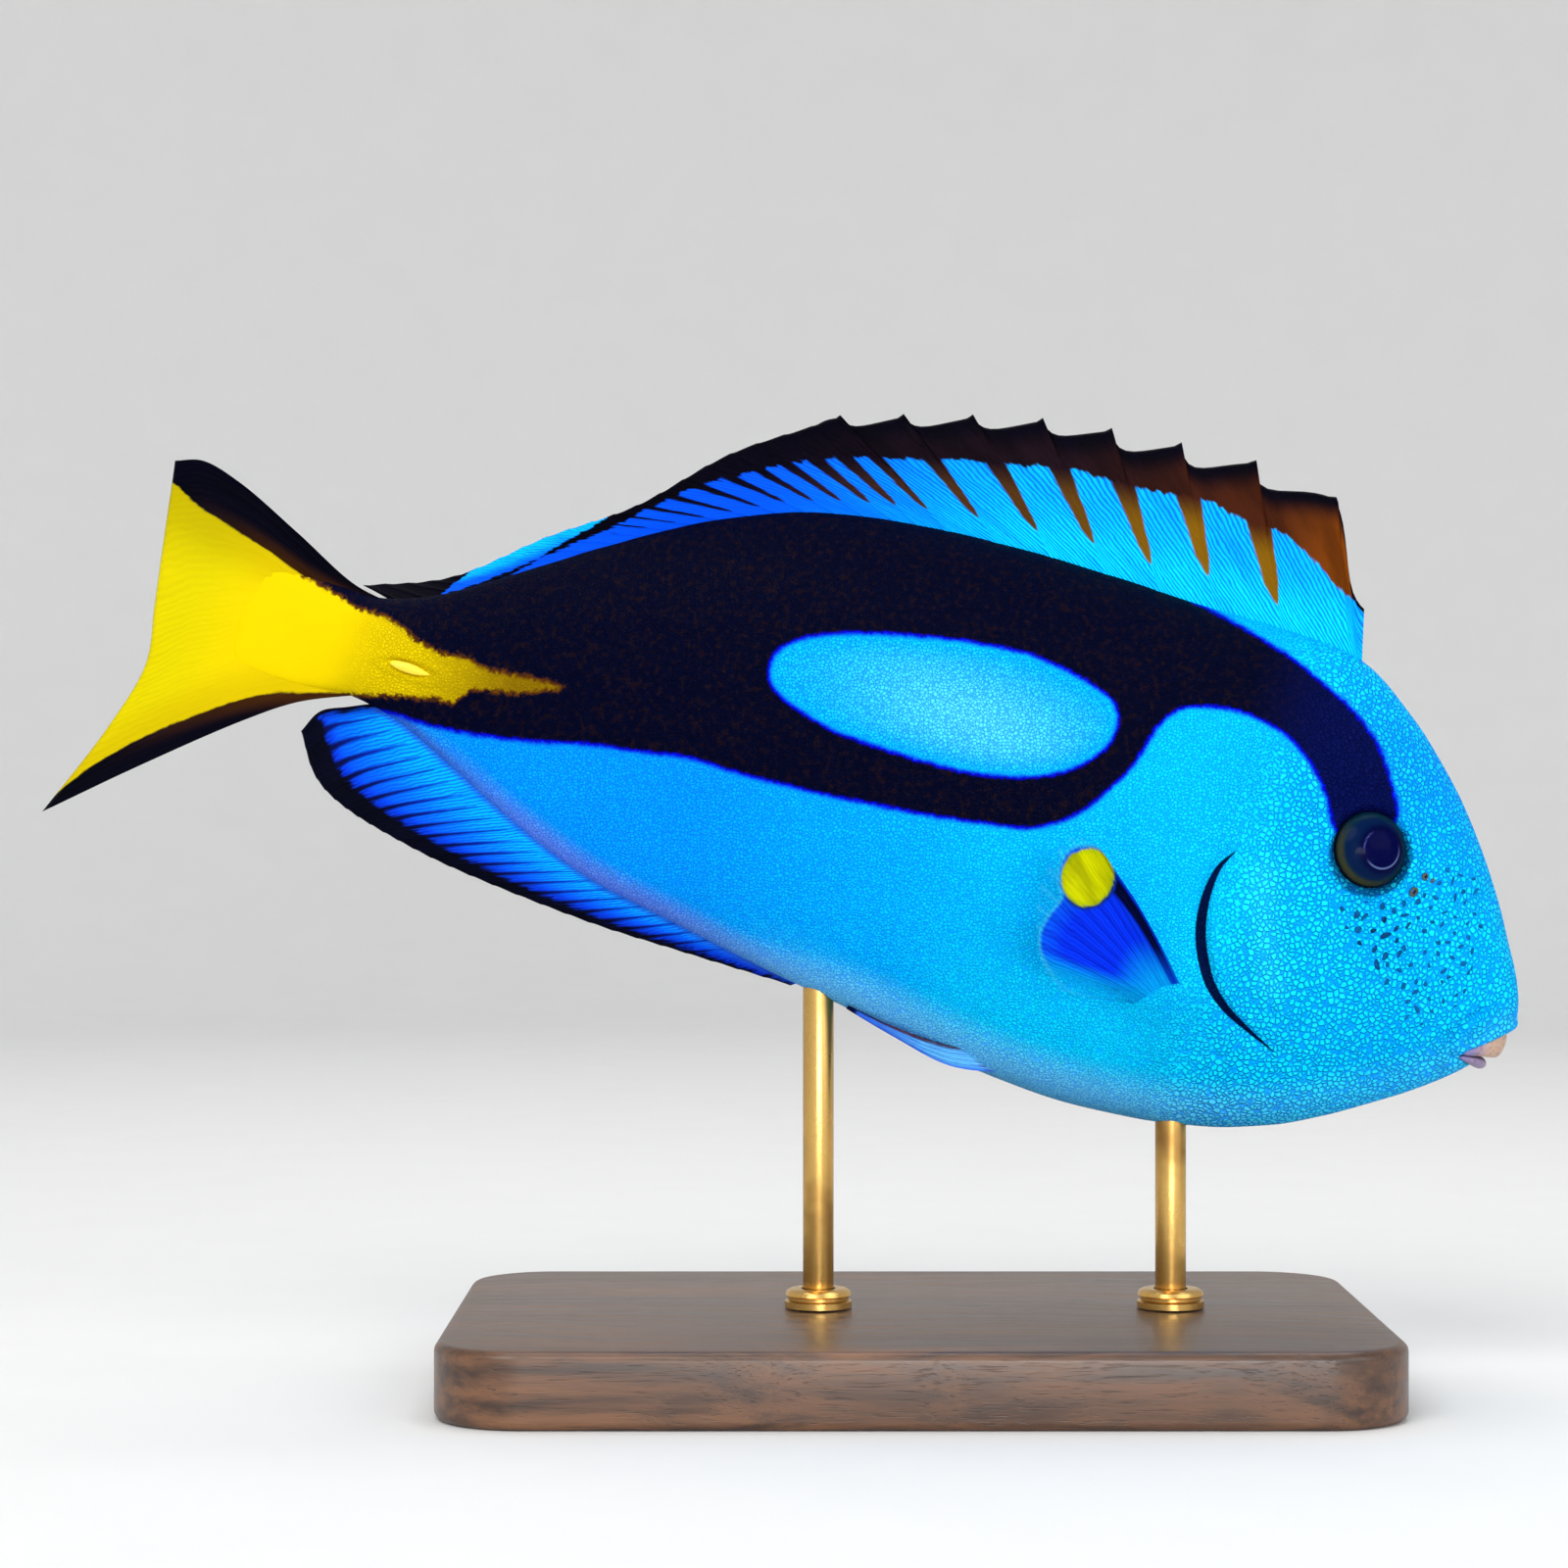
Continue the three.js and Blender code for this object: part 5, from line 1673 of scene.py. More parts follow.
@dataclass
class Fin:
    """A fin as two sheets round a surface that its root, margin and two edges bound.

    Attributes:
        gaps: how many gaps its rays leave.
        columns: columns of points in each gap.
        rows: rows of points from root to margin.
        membrane: the membrane's thickness at the root and at the margin.
        root_thickening: how much thicker the fin is at its root.
        relief: how far a ray stands proud on each face.
        ray_width: half a ray's width, as a share of the gap.
        edge_power: how closely the curves of the front and rear edges stay at those edges.
        kind: the name of the fin, without its side.
    """

    kind: ClassVar[str]
    gaps: int = 20
    columns: int = 12
    rows: int = 80
    membrane: tuple[float, float] = (0.5, 0.16)
    root_thickening: float = 0.7
    relief: float = 0.22
    ray_width: float = 0.09
    edge_power: float = 1.0

    @property
    def name(self) -> str:
        """The fin's name, which is also its node's."""
        return self.kind

    def root(self, u: np.ndarray) -> np.ndarray:
        """Points along the root."""
        raise NotImplementedError

    def margin(self, u: np.ndarray) -> np.ndarray:
        """Points along the outer edge."""
        raise NotImplementedError

    def leading(self, v: np.ndarray) -> np.ndarray:
        """Points along the front edge, straight unless the fin says otherwise."""
        return self._straight(0.0, v)

    def trailing(self, v: np.ndarray) -> np.ndarray:
        """Points along the rear edge, straight unless the fin says otherwise."""
        return self._straight(1.0, v)

    def paint(self, piece: bpy.types.Object, u: np.ndarray, v: np.ndarray, points: np.ndarray) -> None:
        """Gives the fin its colours and the distances to its marks."""
        raise NotImplementedError

    def _straight(self, u: float, v: np.ndarray) -> np.ndarray:
        """Points on the straight line from the root to the margin at one end."""
        start, end = self.root(np.array([u])), self.margin(np.array([u]))
        return start * (1 - v[:, None]) + end * v[:, None]

    def surface(self, u: np.ndarray, v: np.ndarray) -> np.ndarray:
        """Points of the middle surface.

        Args:
            u: how far along the root, from 0 to 1.
            v: how far from the root to the margin, from 0 to 1.

        Returns:
            An array of [x, y, z] in the fish's frame.
        """
        cu, cv = u[:, None], v[:, None]
        front_curve = self.leading(v) - self._straight(0.0, v)
        rear_curve = self.trailing(v) - self._straight(1.0, v)
        ruled = self.root(u) * (1 - cv) + self.margin(u) * cv
        return ruled + front_curve * (1 - cu) ** self.edge_power + rear_curve * cu**self.edge_power

    def streak_place(self, u: np.ndarray, v: np.ndarray) -> np.ndarray:
        """Where each place lies across the fine streaks, counted in streaks."""
        return u * self.gaps * 3.0

    def half_thickness(self, u: np.ndarray, v: np.ndarray) -> np.ndarray:
        """Half the fin's thickness: a thinning membrane with a ridge on every ray, which forks outwards."""
        ray = u * self.gaps
        off = np.abs(ray - np.round(ray))
        fork = self.fork(ray) * soft_step(0.35, 0.95, v)
        ridge = bell(off - fork, self.ray_width * (1 + fork))
        at_root, at_margin = self.membrane
        plain = at_root + (at_margin - at_root) * v**0.8 + self.root_thickening * (1 - v) ** 3
        thin_edge = soft_step(1.0, 0.97, v) * 0.8 + 0.2
        return (plain / 2 + self.relief_at(ray) * ridge * (1 - 0.6 * v)) * thin_edge

    def fork(self, ray: np.ndarray) -> np.ndarray:
        """How far a ray's branches part, as a share of the gap."""
        return np.full(len(ray), 0.17)

    def relief_at(self, ray: np.ndarray) -> np.ndarray:
        """How far the ray nearest to each place stands proud."""
        return np.full(len(ray), self.relief)

    def sway(self, u: np.ndarray, v: np.ndarray) -> np.ndarray:
        """How far the membrane waves to one side, in millimetres."""
        return 0.22 * v * np.sin(u * 19 + 2 * v) * np.sin(math.pi * u)

    def build(self) -> bpy.types.Object:
        """Models the fin and paints its attributes."""
        deselect()
        count = self.gaps * self.columns
        bpy.ops.mesh.primitive_grid_add(x_subdivisions=count, y_subdivisions=self.rows, size=2.0)
        piece = newest(self.name)
        with editing(piece):
            bpy.ops.mesh.extrude_region()
            bpy.ops.transform.translate(value=(0, 0, 1))
        flat = points_of(piece)
        u, v = (flat[:, 0] + 1) / 2, (flat[:, 1] + 1) / 2
        gap = u * self.gaps
        within = gap - np.floor(gap)
        u = np.clip((np.floor(gap) + within - 0.55 * np.sin(2 * np.pi * within) / (2 * np.pi)) / self.gaps, 0, 1)
        layer = np.where(flat[:, 2] > 0.5, 1.0, -1.0)
        step = 1e-3
        low_u, high_u = np.maximum(u - step, 0), np.minimum(u + step, 1)
        low_v, high_v = np.maximum(v - step, 0), np.minimum(v + step, 1)
        along_u = self.surface(high_u, v) - self.surface(low_u, v)
        along_v = self.surface(u, high_v) - self.surface(u, low_v)
        out = np.cross(along_u, along_v)
        out /= np.maximum(np.linalg.norm(out, axis=1), 1e-9)[:, None]
        offset = layer * self.half_thickness(u, v) + self.sway(u, v)
        points = self.surface(u, v) + offset[:, None] * out
        give(piece, "fin", Kind.VECTOR, np.column_stack([self.streak_place(u, v), v, layer]))
        self.paint(piece, u, v, points)
        return set_in_pose(piece, points)

    def _give(
        self,
        piece: bpy.types.Object,
        marks: Sequence[np.ndarray],
        tint: np.ndarray,
        margin_tint: np.ndarray,
        mark_tint: np.ndarray,
    ) -> None:
        """Adds the attributes that the fin's finish reads.

        Args:
            piece: the fin.
            marks: depth inside the margin, depth inside a mark, and how clear the fin is.
            tint: the membrane's colour.
            margin_tint: the margin's colour.
            mark_tint: the marks' colour.
        """
        give(piece, "marks", Kind.VECTOR, np.column_stack(marks))
        give(piece, "tint", Kind.COLOUR, tint)
        give(piece, "margin_tint", Kind.COLOUR, margin_tint)
        give(piece, "mark_tint", Kind.COLOUR, mark_tint)


def on_middle(points: Points) -> np.ndarray:
    """[x, z] points of the side view, set on the middle plane."""
    flat = np.asarray(points, float)
    return np.column_stack([flat[:, 0], np.zeros(len(flat)), flat[:, 1]])


@dataclass
class DorsalFin(Fin):
    """The long back fin: nine spines with a scalloped edge, then soft rays.

    Attributes:
        sunk: how far the root lies inside the back.
        spines: how many stiff rays it has.
        feet: [ray, x] of the rays' feet.
        tips: [ray, x, z] of the rays' tips.
        scallops, soft_scallop: how far the membrane dips between two spine tips, and between two soft rays.
        lean: how far the rear margin leans to the left.
        spike: how far a spine's point stands out of the membrane.
        border: [x, z] of the dark margin's lower border, from the rear.
        leaf: the outline of the bright zone in the margin of the low rear end.
        streaks: [ray, v of the lower end, half width] of the brown streaks on the spines.
    """

    kind: ClassVar[str] = "dorsal_fin"
    gaps: int = 28
    columns: int = 12
    rows: int = 88
    sunk: float = 2.0
    spines: int = 9
    feet: Points = ((0, 156.4), (1, 154.1), (2, 142.5), (3, 131.3), (5, 113.2), (8, 87.9), (10, 79.4), (28, 5.6))
    tips: Points = (
        (0, 153.6, 56.4), (1, 143.6, 71.9), (2, 129.3, 73.6), (3, 116.9, 72.6), (5, 94.2, 69.4),
        (8, 62.7, 59.7), (9, 58.6, 57.0), (12, 47.3, 48.6), (16, 35.2, 35.9), (20, 22.6, 26.6), (24, 9.8, 15.8),
        (28, -4.4, 9.8),
    )
    scallops: Sequence[float] = (1.3, 3.5, 3.1, 2.7, 2.1, 1.8, 1.6, 1.4)
    soft_scallop: float = 0.15
    lean: float = 6.5
    spike: float = 0.5
    border: Points = (
        (-6, 3.0), (12.3, 12.0), (21.2, 21.0), (23.2, 23.3), (29.4, 28.5), (34.7, 33.2), (39.0, 37.4),
        (45.7, 43.1), (51.2, 46.4), (60.2, 51.7), (74.2, 56.4), (83.4, 59.1), (92.8, 61.3), (102.2, 63.5),
        (113.8, 63.9), (123.4, 65.3), (132.1, 64.0), (136.4, 64.4), (140.0, 63.0), (144.2, 60.9), (147.1, 59.2),
        (150.7, 57.4), (156.0, 56.0),
    )
    leaf: Points = (
        (8.1, 10.0), (10.8, 15.2), (14.3, 20.8), (19.5, 24.8), (25.2, 29.4), (31.2, 32.6), (25.7, 26.7),
        (22.7, 23.1), (15.4, 16.6), (9.5, 12.0),
    )
    streaks: Points = (
        (1, 0.9, 0.6), (2, 0.2, 1.35), (3, 0.26, 1.1), (4, 0.23, 0.98), (5, 0.26, 0.94), (6, 0.26, 0.86),
        (7, 0.28, 0.8), (8, 0.28, 0.76), (9, 0.3, 0.7), (12, 0.36, 0.55), (16, 0.42, 0.42), (20, 0.55, 0.3),
        (28, 0.9, 0.2),
    )

    def root(self, u: np.ndarray) -> np.ndarray:
        """Points along the root, sunk in the back."""
        x = curve_through(self.feet, u * self.gaps)
        return np.column_stack([x, np.zeros(len(x)), BODY.back(x) - self.sunk])

    def _tip(self, ray: np.ndarray) -> np.ndarray:
        """[x, z] of a ray's tip."""
        return np.column_stack([column_at(self.tips, 1, ray), column_at(self.tips, 2, ray)])

    def margin(self, u: np.ndarray) -> np.ndarray:
        """Points along the scalloped outer edge."""
        ray = u * self.gaps
        gap = np.minimum(np.floor(ray), self.gaps - 1).astype(int)
        depths = np.array([*self.scallops, *[self.soft_scallop] * (self.gaps - len(self.scallops))])
        within = np.clip(ray - gap, 0, 1)
        dip = depths[gap] * dip_shape(np.where(gap == 0, 1 - within, within))
        off = np.abs(ray - np.round(ray))
        dip -= self.spike * bell(off, 0.05) * ((ray > 0.5) & (ray < self.spines - 0.5))
        chord = self._tip(gap.astype(float)) - self._tip(gap + 1.0)
        chord /= np.linalg.norm(chord, axis=1)[:, None]
        tip = self._tip(ray)
        lean = soft_step(0.45, 1.0, u) * self.lean
        return np.column_stack([tip[:, 0] + dip * chord[:, 1], lean, tip[:, 1] - dip * chord[:, 0]])

    def streak_place(self, u: np.ndarray, v: np.ndarray) -> np.ndarray:
        """The streaks lean back more than the spines do."""
        return (curve_through(self.feet, u * self.gaps) + 17.0 * v - 7.0 * v**2) / 0.8

    def fork(self, ray: np.ndarray) -> np.ndarray:
        """Spines don't fork, soft rays do."""
        return np.where(ray < self.spines - 0.5, 0.0, 0.16)

    def relief_at(self, ray: np.ndarray) -> np.ndarray:
        """Spines stand prouder than soft rays."""
        return np.where(ray < self.spines - 0.5, 0.34, 0.2)

    def paint(self, piece: bpy.types.Object, u: np.ndarray, v: np.ndarray, points: np.ndarray) -> None:
        """Blue below, dark at the margin, with a brown streak down each spine."""
        x, z = POSE.seen(points).T
        ray = u * self.gaps
        length = np.linalg.norm(self.margin(u) - self.root(u), axis=1)
        from_edge = (1 - v) * length
        margin = (z - curve_through(self.border, x)) * 0.85
        margin = np.where(ray < 1, np.maximum(margin, 0.9 - from_edge), margin)
        leaf = depth_inside(np.column_stack([x, z]), smooth_line(self.leaf, 80, closed=True))
        margin = np.minimum(margin, -1.4 * leaf)
        rear = soft_step(-0.3, 0.1, leaf)
        foot, half = column_at(self.streaks, 1, ray), column_at(self.streaks, 2, ray)
        reach = (v - foot) * length
        spacing = np.abs(curve_through(self.feet, ray + 0.5) - curve_through(self.feet, ray - 0.5)) * 0.82
        off = np.abs(ray - np.round(ray)) * spacing
        streak = half * (0.66 + 0.07 * reach) * np.sqrt(np.clip(reach / (3 * half), 0, 1)) - off
        streak = np.where(ray < 1.5, -1.0, np.minimum(streak, reach)) - 1.5 * soft_step(34, 28, x)
        margin_tint, mark_tint = self._dark_tints(x, margin, from_edge)
        edge = soft_step(0.985, 1.0, v) * 0.3
        self._give(piece, (margin, streak, edge), self._blue_tint(x, v, rear), margin_tint, mark_tint)

    def _blue_tint(self, x: np.ndarray, v: np.ndarray, rear: np.ndarray) -> np.ndarray:
        """Colours of the membrane below its dark margin.

        Args:
            x: how far ahead each point is seen.
            v: how far it is from the root to the margin.
            rear: how much it belongs to the bright zone of the low rear end.

        Returns:
            One colour for each point.
        """
        return coats(
            paint(2, 172, 246),
            (0.9 * soft_step(0.55, 0.2, v) * soft_step(60, 110, x), paint(2, 206, 250)),
            (soft_step(100, 50, x), paint(2, 78, 228)),
            (rear, coats(paint(2, 90, 234), (soft_step(0.55, 0.95, v), paint(8, 196, 250)))),
        )

    def _dark_tints(
        self, x: np.ndarray, margin: np.ndarray, from_edge: np.ndarray
    ) -> tuple[np.ndarray, np.ndarray]:
        """Colours of the dark margin and of the streaks below it.

        Args:
            x: how far ahead each point is seen.
            margin: how far it is inside the margin.
            from_edge: how far it is from the outer edge.

        Returns:
            The margin's colours and the streaks'.
        """
        front_brown = (soft_step(132, 152, x), paint(116, 56, 4))
        brown = coats(paint(22, 9, 18), (soft_step(96, 134, x), paint(62, 26, 10)), front_brown)
        margin_tint = coats(paint(2, 1, 12), (soft_step(1.0, 5.0, from_edge) * soft_step(48, 96, x), brown))
        front_ochre = (soft_step(92, 126, x), paint(116, 80, 6))
        streak = coats(paint(6, 5, 28), (soft_step(50, 96, x), paint(70, 42, 14)), front_ochre)
        return margin_tint, coats(streak, (soft_step(-4.5, 0.4, margin), margin_tint))


@dataclass
class AnalFin(Fin):
    """The long fin under the tail, blue with dark rays and a black edge.

    Attributes:
        sunk: how far the root lies inside the belly.
        last_ray: the number of the last ray, as the feet and tips count them.
        feet: [ray, x] of the rays' feet.
        tips: [ray, x, z] of the rays' tips.
        rear_edge: [x, z] of the rear edge, from the root.
        scallop: how far the membrane dips between two rays.
        lean: how far the rear margin leans.
        edge_width: [ray, width] of the black edge.
        line_foot: how far from the root the dark lines on the rays start.
    """

    kind: ClassVar[str] = "anal_fin"
    gaps: int = 27
    columns: int = 10
    rows: int = 76
    sunk: float = 2.0
    relief: float = 0.13
    edge_power: float = 5.0
    last_ray: int = 20
    feet: Points = ((0, 86.5), (20, 6.5))
    tips: Points = (
        (0, 83.5, -31.0), (3, 65.4, -31.3), (6, 48.7, -31.4), (10, 26.2, -30.0), (13, 13.6, -28.1),
        (16, 4.0, -25.6), (18, -1.4, -22.4), (20, -5.7, -16.3),
    )
    rear_edge: Points = ((0.8, -9.9), (-3.9, -12.3))
    scallop: float = 0.12
    lean: float = -1.6
    edge_width: Points = ((0, 0.4), (4, 1.0), (10, 2.1), (15, 3.3), (18, 3.9), (20, 3.6))
    line_foot: float = 0.2

    def root(self, u: np.ndarray) -> np.ndarray:
        """Points along the root, sunk in the belly."""
        x = curve_through(self.feet, u * self.last_ray)
        return np.column_stack([x, np.zeros(len(x)), BODY.belly(x) + self.sunk])

    def margin(self, u: np.ndarray) -> np.ndarray:
        """Points along the outer edge."""
        ray = u * self.last_ray
        dip = self.scallop * dip_shape(np.mod(u * self.gaps, 1.0))
        tip_x, tip_z = column_at(self.tips, 1, ray), column_at(self.tips, 2, ray)
        return np.column_stack([tip_x, self.lean * u, tip_z + dip])

    def trailing(self, v: np.ndarray) -> np.ndarray:
        """Points along the rounded rear edge."""
        end = np.array([1.0])
        return smooth_curve(np.vstack([self.root(end), on_middle(self.rear_edge), self.margin(end)]), v)

    def paint(self, piece: bpy.types.Object, u: np.ndarray, v: np.ndarray, points: np.ndarray) -> None:
        """Blue with a dark line on each ray, purple-grey along the base and black at the edge."""
        ray = u * self.last_ray
        flat = points[:, [0, 2]]
        outer = smooth_line([(tip_x, tip_z) for _, tip_x, tip_z in self.tips], 80)
        rear = smooth_line([(6.5, -7.6), *self.rear_edge, self.tips[-1][1:]], 30)
        at_edge = curve_through(self.edge_width, ray) - distance_to(flat, outer)
        margin = np.maximum(at_edge, 0.75 - distance_to(flat, rear))
        off = np.abs(u * self.gaps - np.round(u * self.gaps))
        wedge = 0.23 * np.clip((v - self.line_foot) / (0.95 - self.line_foot), 0, 1) ** 0.7
        line = np.where(v < self.line_foot, -1.0, (wedge - off) * 1.9) - 0.4 * soft_step(4, 1, ray)
        edge = soft_step(0.985, 1.0, v) * 0.3
        tint = coats(
            paint(1, 164, 251),
            (soft_step(0.2, 0.6, v), paint(2, 104, 240)),
            (soft_step(0.5, 0.85, v), paint(2, 46, 226)),
            (0.85 * soft_step(-2.2, 0.0, margin), paint(2, 14, 140)),
            (0.6 * soft_step(1.0, 0.3, BODY.belly(points[:, 0]) - points[:, 2]), paint(40, 76, 172)),
        )
        mark_tint = coats(paint(2, 30, 150), (soft_step(0.35, 0.8, v), paint(1, 4, 44)))
        self._give(piece, (0.45 * margin, line, edge), tint, fill(paint(1, 2, 18), len(v)), mark_tint)

    def streak_place(self, u: np.ndarray, v: np.ndarray) -> np.ndarray:
        """The streaks run along the rays."""
        return curve_through(self.feet, u * self.last_ray) / 0.7


@dataclass
class CaudalFin(Fin):
    """The tail fin: a yellow triangle between two black lobes.

    Attributes:
        upper_edge, lower_edge: [x, z] along the lobes' outer edges.
        trailing_edge: [x, z] from the upper tip to the lower one.
        black_top, black_bottom: [x, z] of the black lobes' inner borders, as they are seen.
    """

    kind: ClassVar[str] = "caudal_fin"
    gaps: int = 15
    columns: int = 14
    rows: int = 110
    relief: float = 0.07
    upper_edge: Points = ((2, 8.2), (-5.1, 9.4), (-16.9, 14.6), (-29.2, 19.7), (-36.5, 21.3), (-41.1, 19.9))
    lower_edge: Points = ((2, -7.4), (-8.0, -12.0), (-15.6, -17.6), (-29.7, -30.1), (-42.3, -42.1))
    trailing_edge: Points = (
        (-41.1, 19.9), (-39.0, 10.0), (-36.0, -4.0), (-34.2, -13.5), (-36.6, -25.0), (-42.3, -42.1),
    )
    black_top: Points = (
        (-46, 19.4), (-41.4, 17.5), (-37.8, 16), (-33.1, 13.8), (-27.7, 12.2), (-22.6, 11), (-17.2, 9.4),
        (-11.9, 7.7), (-6.7, 6.7), (4, 5.4),
    )
    black_bottom: Points = (
        (-44, -43.6), (-40.8, -39.4), (-38.7, -35.8), (-34.4, -30.2), (-29.9, -25.4), (-24.3, -20.4),
        (-18.1, -15.6), (-11.1, -11.5), (-5.2, -9.4), (4, -6.6),
    )

    def leading(self, v: np.ndarray) -> np.ndarray:
        """Points along the upper lobe's edge."""
        return smooth_curve(on_middle(self.upper_edge), v)

    def trailing(self, v: np.ndarray) -> np.ndarray:
        """Points along the lower lobe's edge."""
        return smooth_curve(on_middle(self.lower_edge), v)

    def root(self, u: np.ndarray) -> np.ndarray:
        """Points along the root, inside the stalk."""
        top, bottom = on_middle((self.upper_edge[0], self.lower_edge[0]))
        return top * (1 - u[:, None]) + bottom * u[:, None]

    def margin(self, u: np.ndarray) -> np.ndarray:
        """Points along the rear edge."""
        return smooth_curve(on_middle(self.trailing_edge), u)

    def sway(self, u: np.ndarray, v: np.ndarray) -> np.ndarray:
        """The tail fin waves a little more than the others."""
        return 0.5 * v**2 * np.sin(u * 9 + 1.0)

    def paint(self, piece: bpy.types.Object, u: np.ndarray, v: np.ndarray, points: np.ndarray) -> None:
        """Yellow with black along both outer edges."""
        x, z = POSE.seen(points).T
        above = (z - curve_through(self.black_top, x)) * 0.92
        below = (curve_through(self.black_bottom, x) - z) * 0.75
        margin = np.maximum(above, below)
        tint = coats(
            paint(212, 186, 0),
            (soft_step(-14, -30, x), paint(196, 182, 0)),
            (0.6 * soft_step(-7, -0.8, margin), paint(174, 150, 0)),
            (0.65 * soft_step(0, 12, z) * soft_step(-12, -32, x), paint(158, 146, 0)),
        )
        rusty = soft_step(2.6, 0.2, margin) * soft_step(-36, -12, x)
        margin_tint = coats(paint(1, 1, 13), (0.85 * rusty, paint(62, 32, 4)))
        edge = soft_step(0.985, 1.0, v) * 0.3
        self._give(piece, (margin, np.full(len(x), -1.0), edge), tint, margin_tint, margin_tint)


@dataclass
class PairedFin(Fin):
    """A fin that each side of the fish has one of.

    Attributes:
        side: the side that it is on.
        roots: the two ends of its root.
        leading_edge, trailing_edge: [x, y out, z] along its front and rear edges.
    """

    side: Side = Side.RIGHT
    roots: Points = ()
    leading_edge: Points = ()
    trailing_edge: Points = ()

    @property
    def name(self) -> str:
        """The fin's name, which is also its node's."""
        return f"{self.kind}_{self.side.word}"

    def root(self, u: np.ndarray) -> np.ndarray:
        """Points along the root."""
        front, rear = self._on_side(self.roots)
        return front * (1 - u[:, None]) + rear * u[:, None]

    def leading(self, v: np.ndarray) -> np.ndarray:
        """Points along the front edge."""
        return smooth_curve(self._on_side(self.leading_edge), v)

    def trailing(self, v: np.ndarray) -> np.ndarray:
        """Points along the rear edge."""
        return smooth_curve(self._on_side(self.trailing_edge), v)

    def _on_side(self, points: Points) -> np.ndarray:
        """[x, y out from the middle plane, z] points, set on the fin's side."""
        return np.asarray(points, float) * (1, self.side.value, 1)


@dataclass
class PectoralFin(PairedFin):
    """The breast fin, fanned out towards the side, with a yellow spot near its tip.

    Attributes:
        outer_edge: [x, y out, z] along its outer edge.
        spot: the middle and the half sizes of the yellow spot, as it is seen.
        painted: the outline of the coloured part, as it is seen.
        band_width: the dark band's widths at the root and at the tip.
        band_inset: how far inside the edge it runs.
    """

    kind: ClassVar[str] = "pectoral_fin"
    gaps: int = 15
    columns: int = 10
    rows: int = 90
    membrane: tuple[float, float] = (0.45, 0.12)
    root_thickening: float = 1.2
    relief: float = 0.16
    roots: Points = ((143.2, 13.4, -11.6), (136.4, 13.4, -15.4))
    leading_edge: Points = ((143.2, 13.4, -11.6), (132.6, 25.0, -2.3), (124.7, 36.0, 3.0))
    trailing_edge: Points = ((136.4, 13.4, -15.4), (129.3, 19.0, -17.1), (123.4, 24.0, -17.5))
    outer_edge: Points = (
        (124.7, 36.0, 3.0), (120.6, 40.0, 5.9), (116.6, 41.5, 5.6), (114.5, 38.5, -1.2), (116.3, 34.0, -8.9),
        (119.3, 29.0, -14.5), (123.4, 24.0, -17.5),
    )
    spot: tuple[float, float, float, float] = (124.2, 0.8, 4.3, 4.8)
    painted: Points = (
        (127.4, 4.2), (124.5, 5.6), (120.6, 4.2), (119.8, 0.6), (121.6, -3.6), (120.5, -7.0), (120.0, -9.9),
        (121.0, -13.0), (123.7, -15.6), (127.5, -17.4), (133.0, -17.5), (140.0, -18.0), (147.0, -14.0),
        (143.6, -8.0), (135.0, -1.5), (129.6, 4.0),
    )
    band_width: tuple[float, float] = (1.1, 2.3)
    band_inset: float = 0.12

    def margin(self, u: np.ndarray) -> np.ndarray:
        """Points along the outer edge."""
        return smooth_curve(self._on_side(self.outer_edge), u)

    def paint(self, piece: bpy.types.Object, u: np.ndarray, v: np.ndarray, points: np.ndarray) -> None:
        """A dark leading band, an ultramarine fan, the yellow spot and a clear fringe."""
        seen = POSE.seen(points)
        x, z = seen.T
        spot_x, spot_z, half_x, half_z = self.spot
        inside = 1 - np.hypot((x - spot_x) / half_x, (z - spot_z) / half_z)
        spot = inside * (half_x + half_z) / 2
        colours = depth_inside(seen, smooth_line(self.painted, 120, closed=True))
        lead = POSE.seen(self.leading(np.linspace(0, 1, 80)))
        narrow, wide = self.band_width
        width = narrow + (wide - narrow) * along_line(seen, lead)
        band = width / 2 - np.abs(distance_to(seen, lead) - width / 2 - self.band_inset)
        off = np.abs(u * self.gaps - np.round(u * self.gaps))
        low_front = soft_step(-0.2, 0.7, (x - spot_x - (z - spot_z)) / 6)
        tint = coats(
            paint(3, 52, 244),
            (0.6 * soft_step(4.0, 0.0, colours), paint(4, 104, 248)),
            (0.35 * soft_step(0.3, 0.08, off), paint(2, 10, 150)),
            (0.95 * soft_step(0.34, 0.05, v), paint(2, 176, 250)),
            (0.9 * soft_step(-12.5, -15.5, z), paint(2, 176, 250)),
            (0.95 * low_front * soft_step(-0.9, -0.1, spot), paint(10, 44, 44)),
            (soft_step(0.2, -0.6, np.maximum(colours, spot)), paint(60, 208, 250)),
        )
        margin_tint = coats(paint(206, 210, 0), (soft_step(1.0, 0.1, spot), paint(176, 196, 6)))
        at_root = (soft_step(0.3, 0.05, v), paint(2, 60, 190))
        mark_tint = coats(paint(3, 20, 160), (soft_step(0.0, 0.4, band), paint(1, 5, 46)), at_root)
        rib = 0.12 * soft_step(0.2, 0.05, off)
        clear = soft_step(0.3, -0.9, np.maximum(colours, spot)) * (0.98 - rib)
        clear = np.maximum(clear, soft_step(-13.0, -16.6, z) * soft_step(141, 136, x) * (0.9 - rib))
        mark = np.where(spot > -0.5, -1.0, band)
        self._give(piece, (spot, mark, clear), tint, margin_tint, mark_tint)


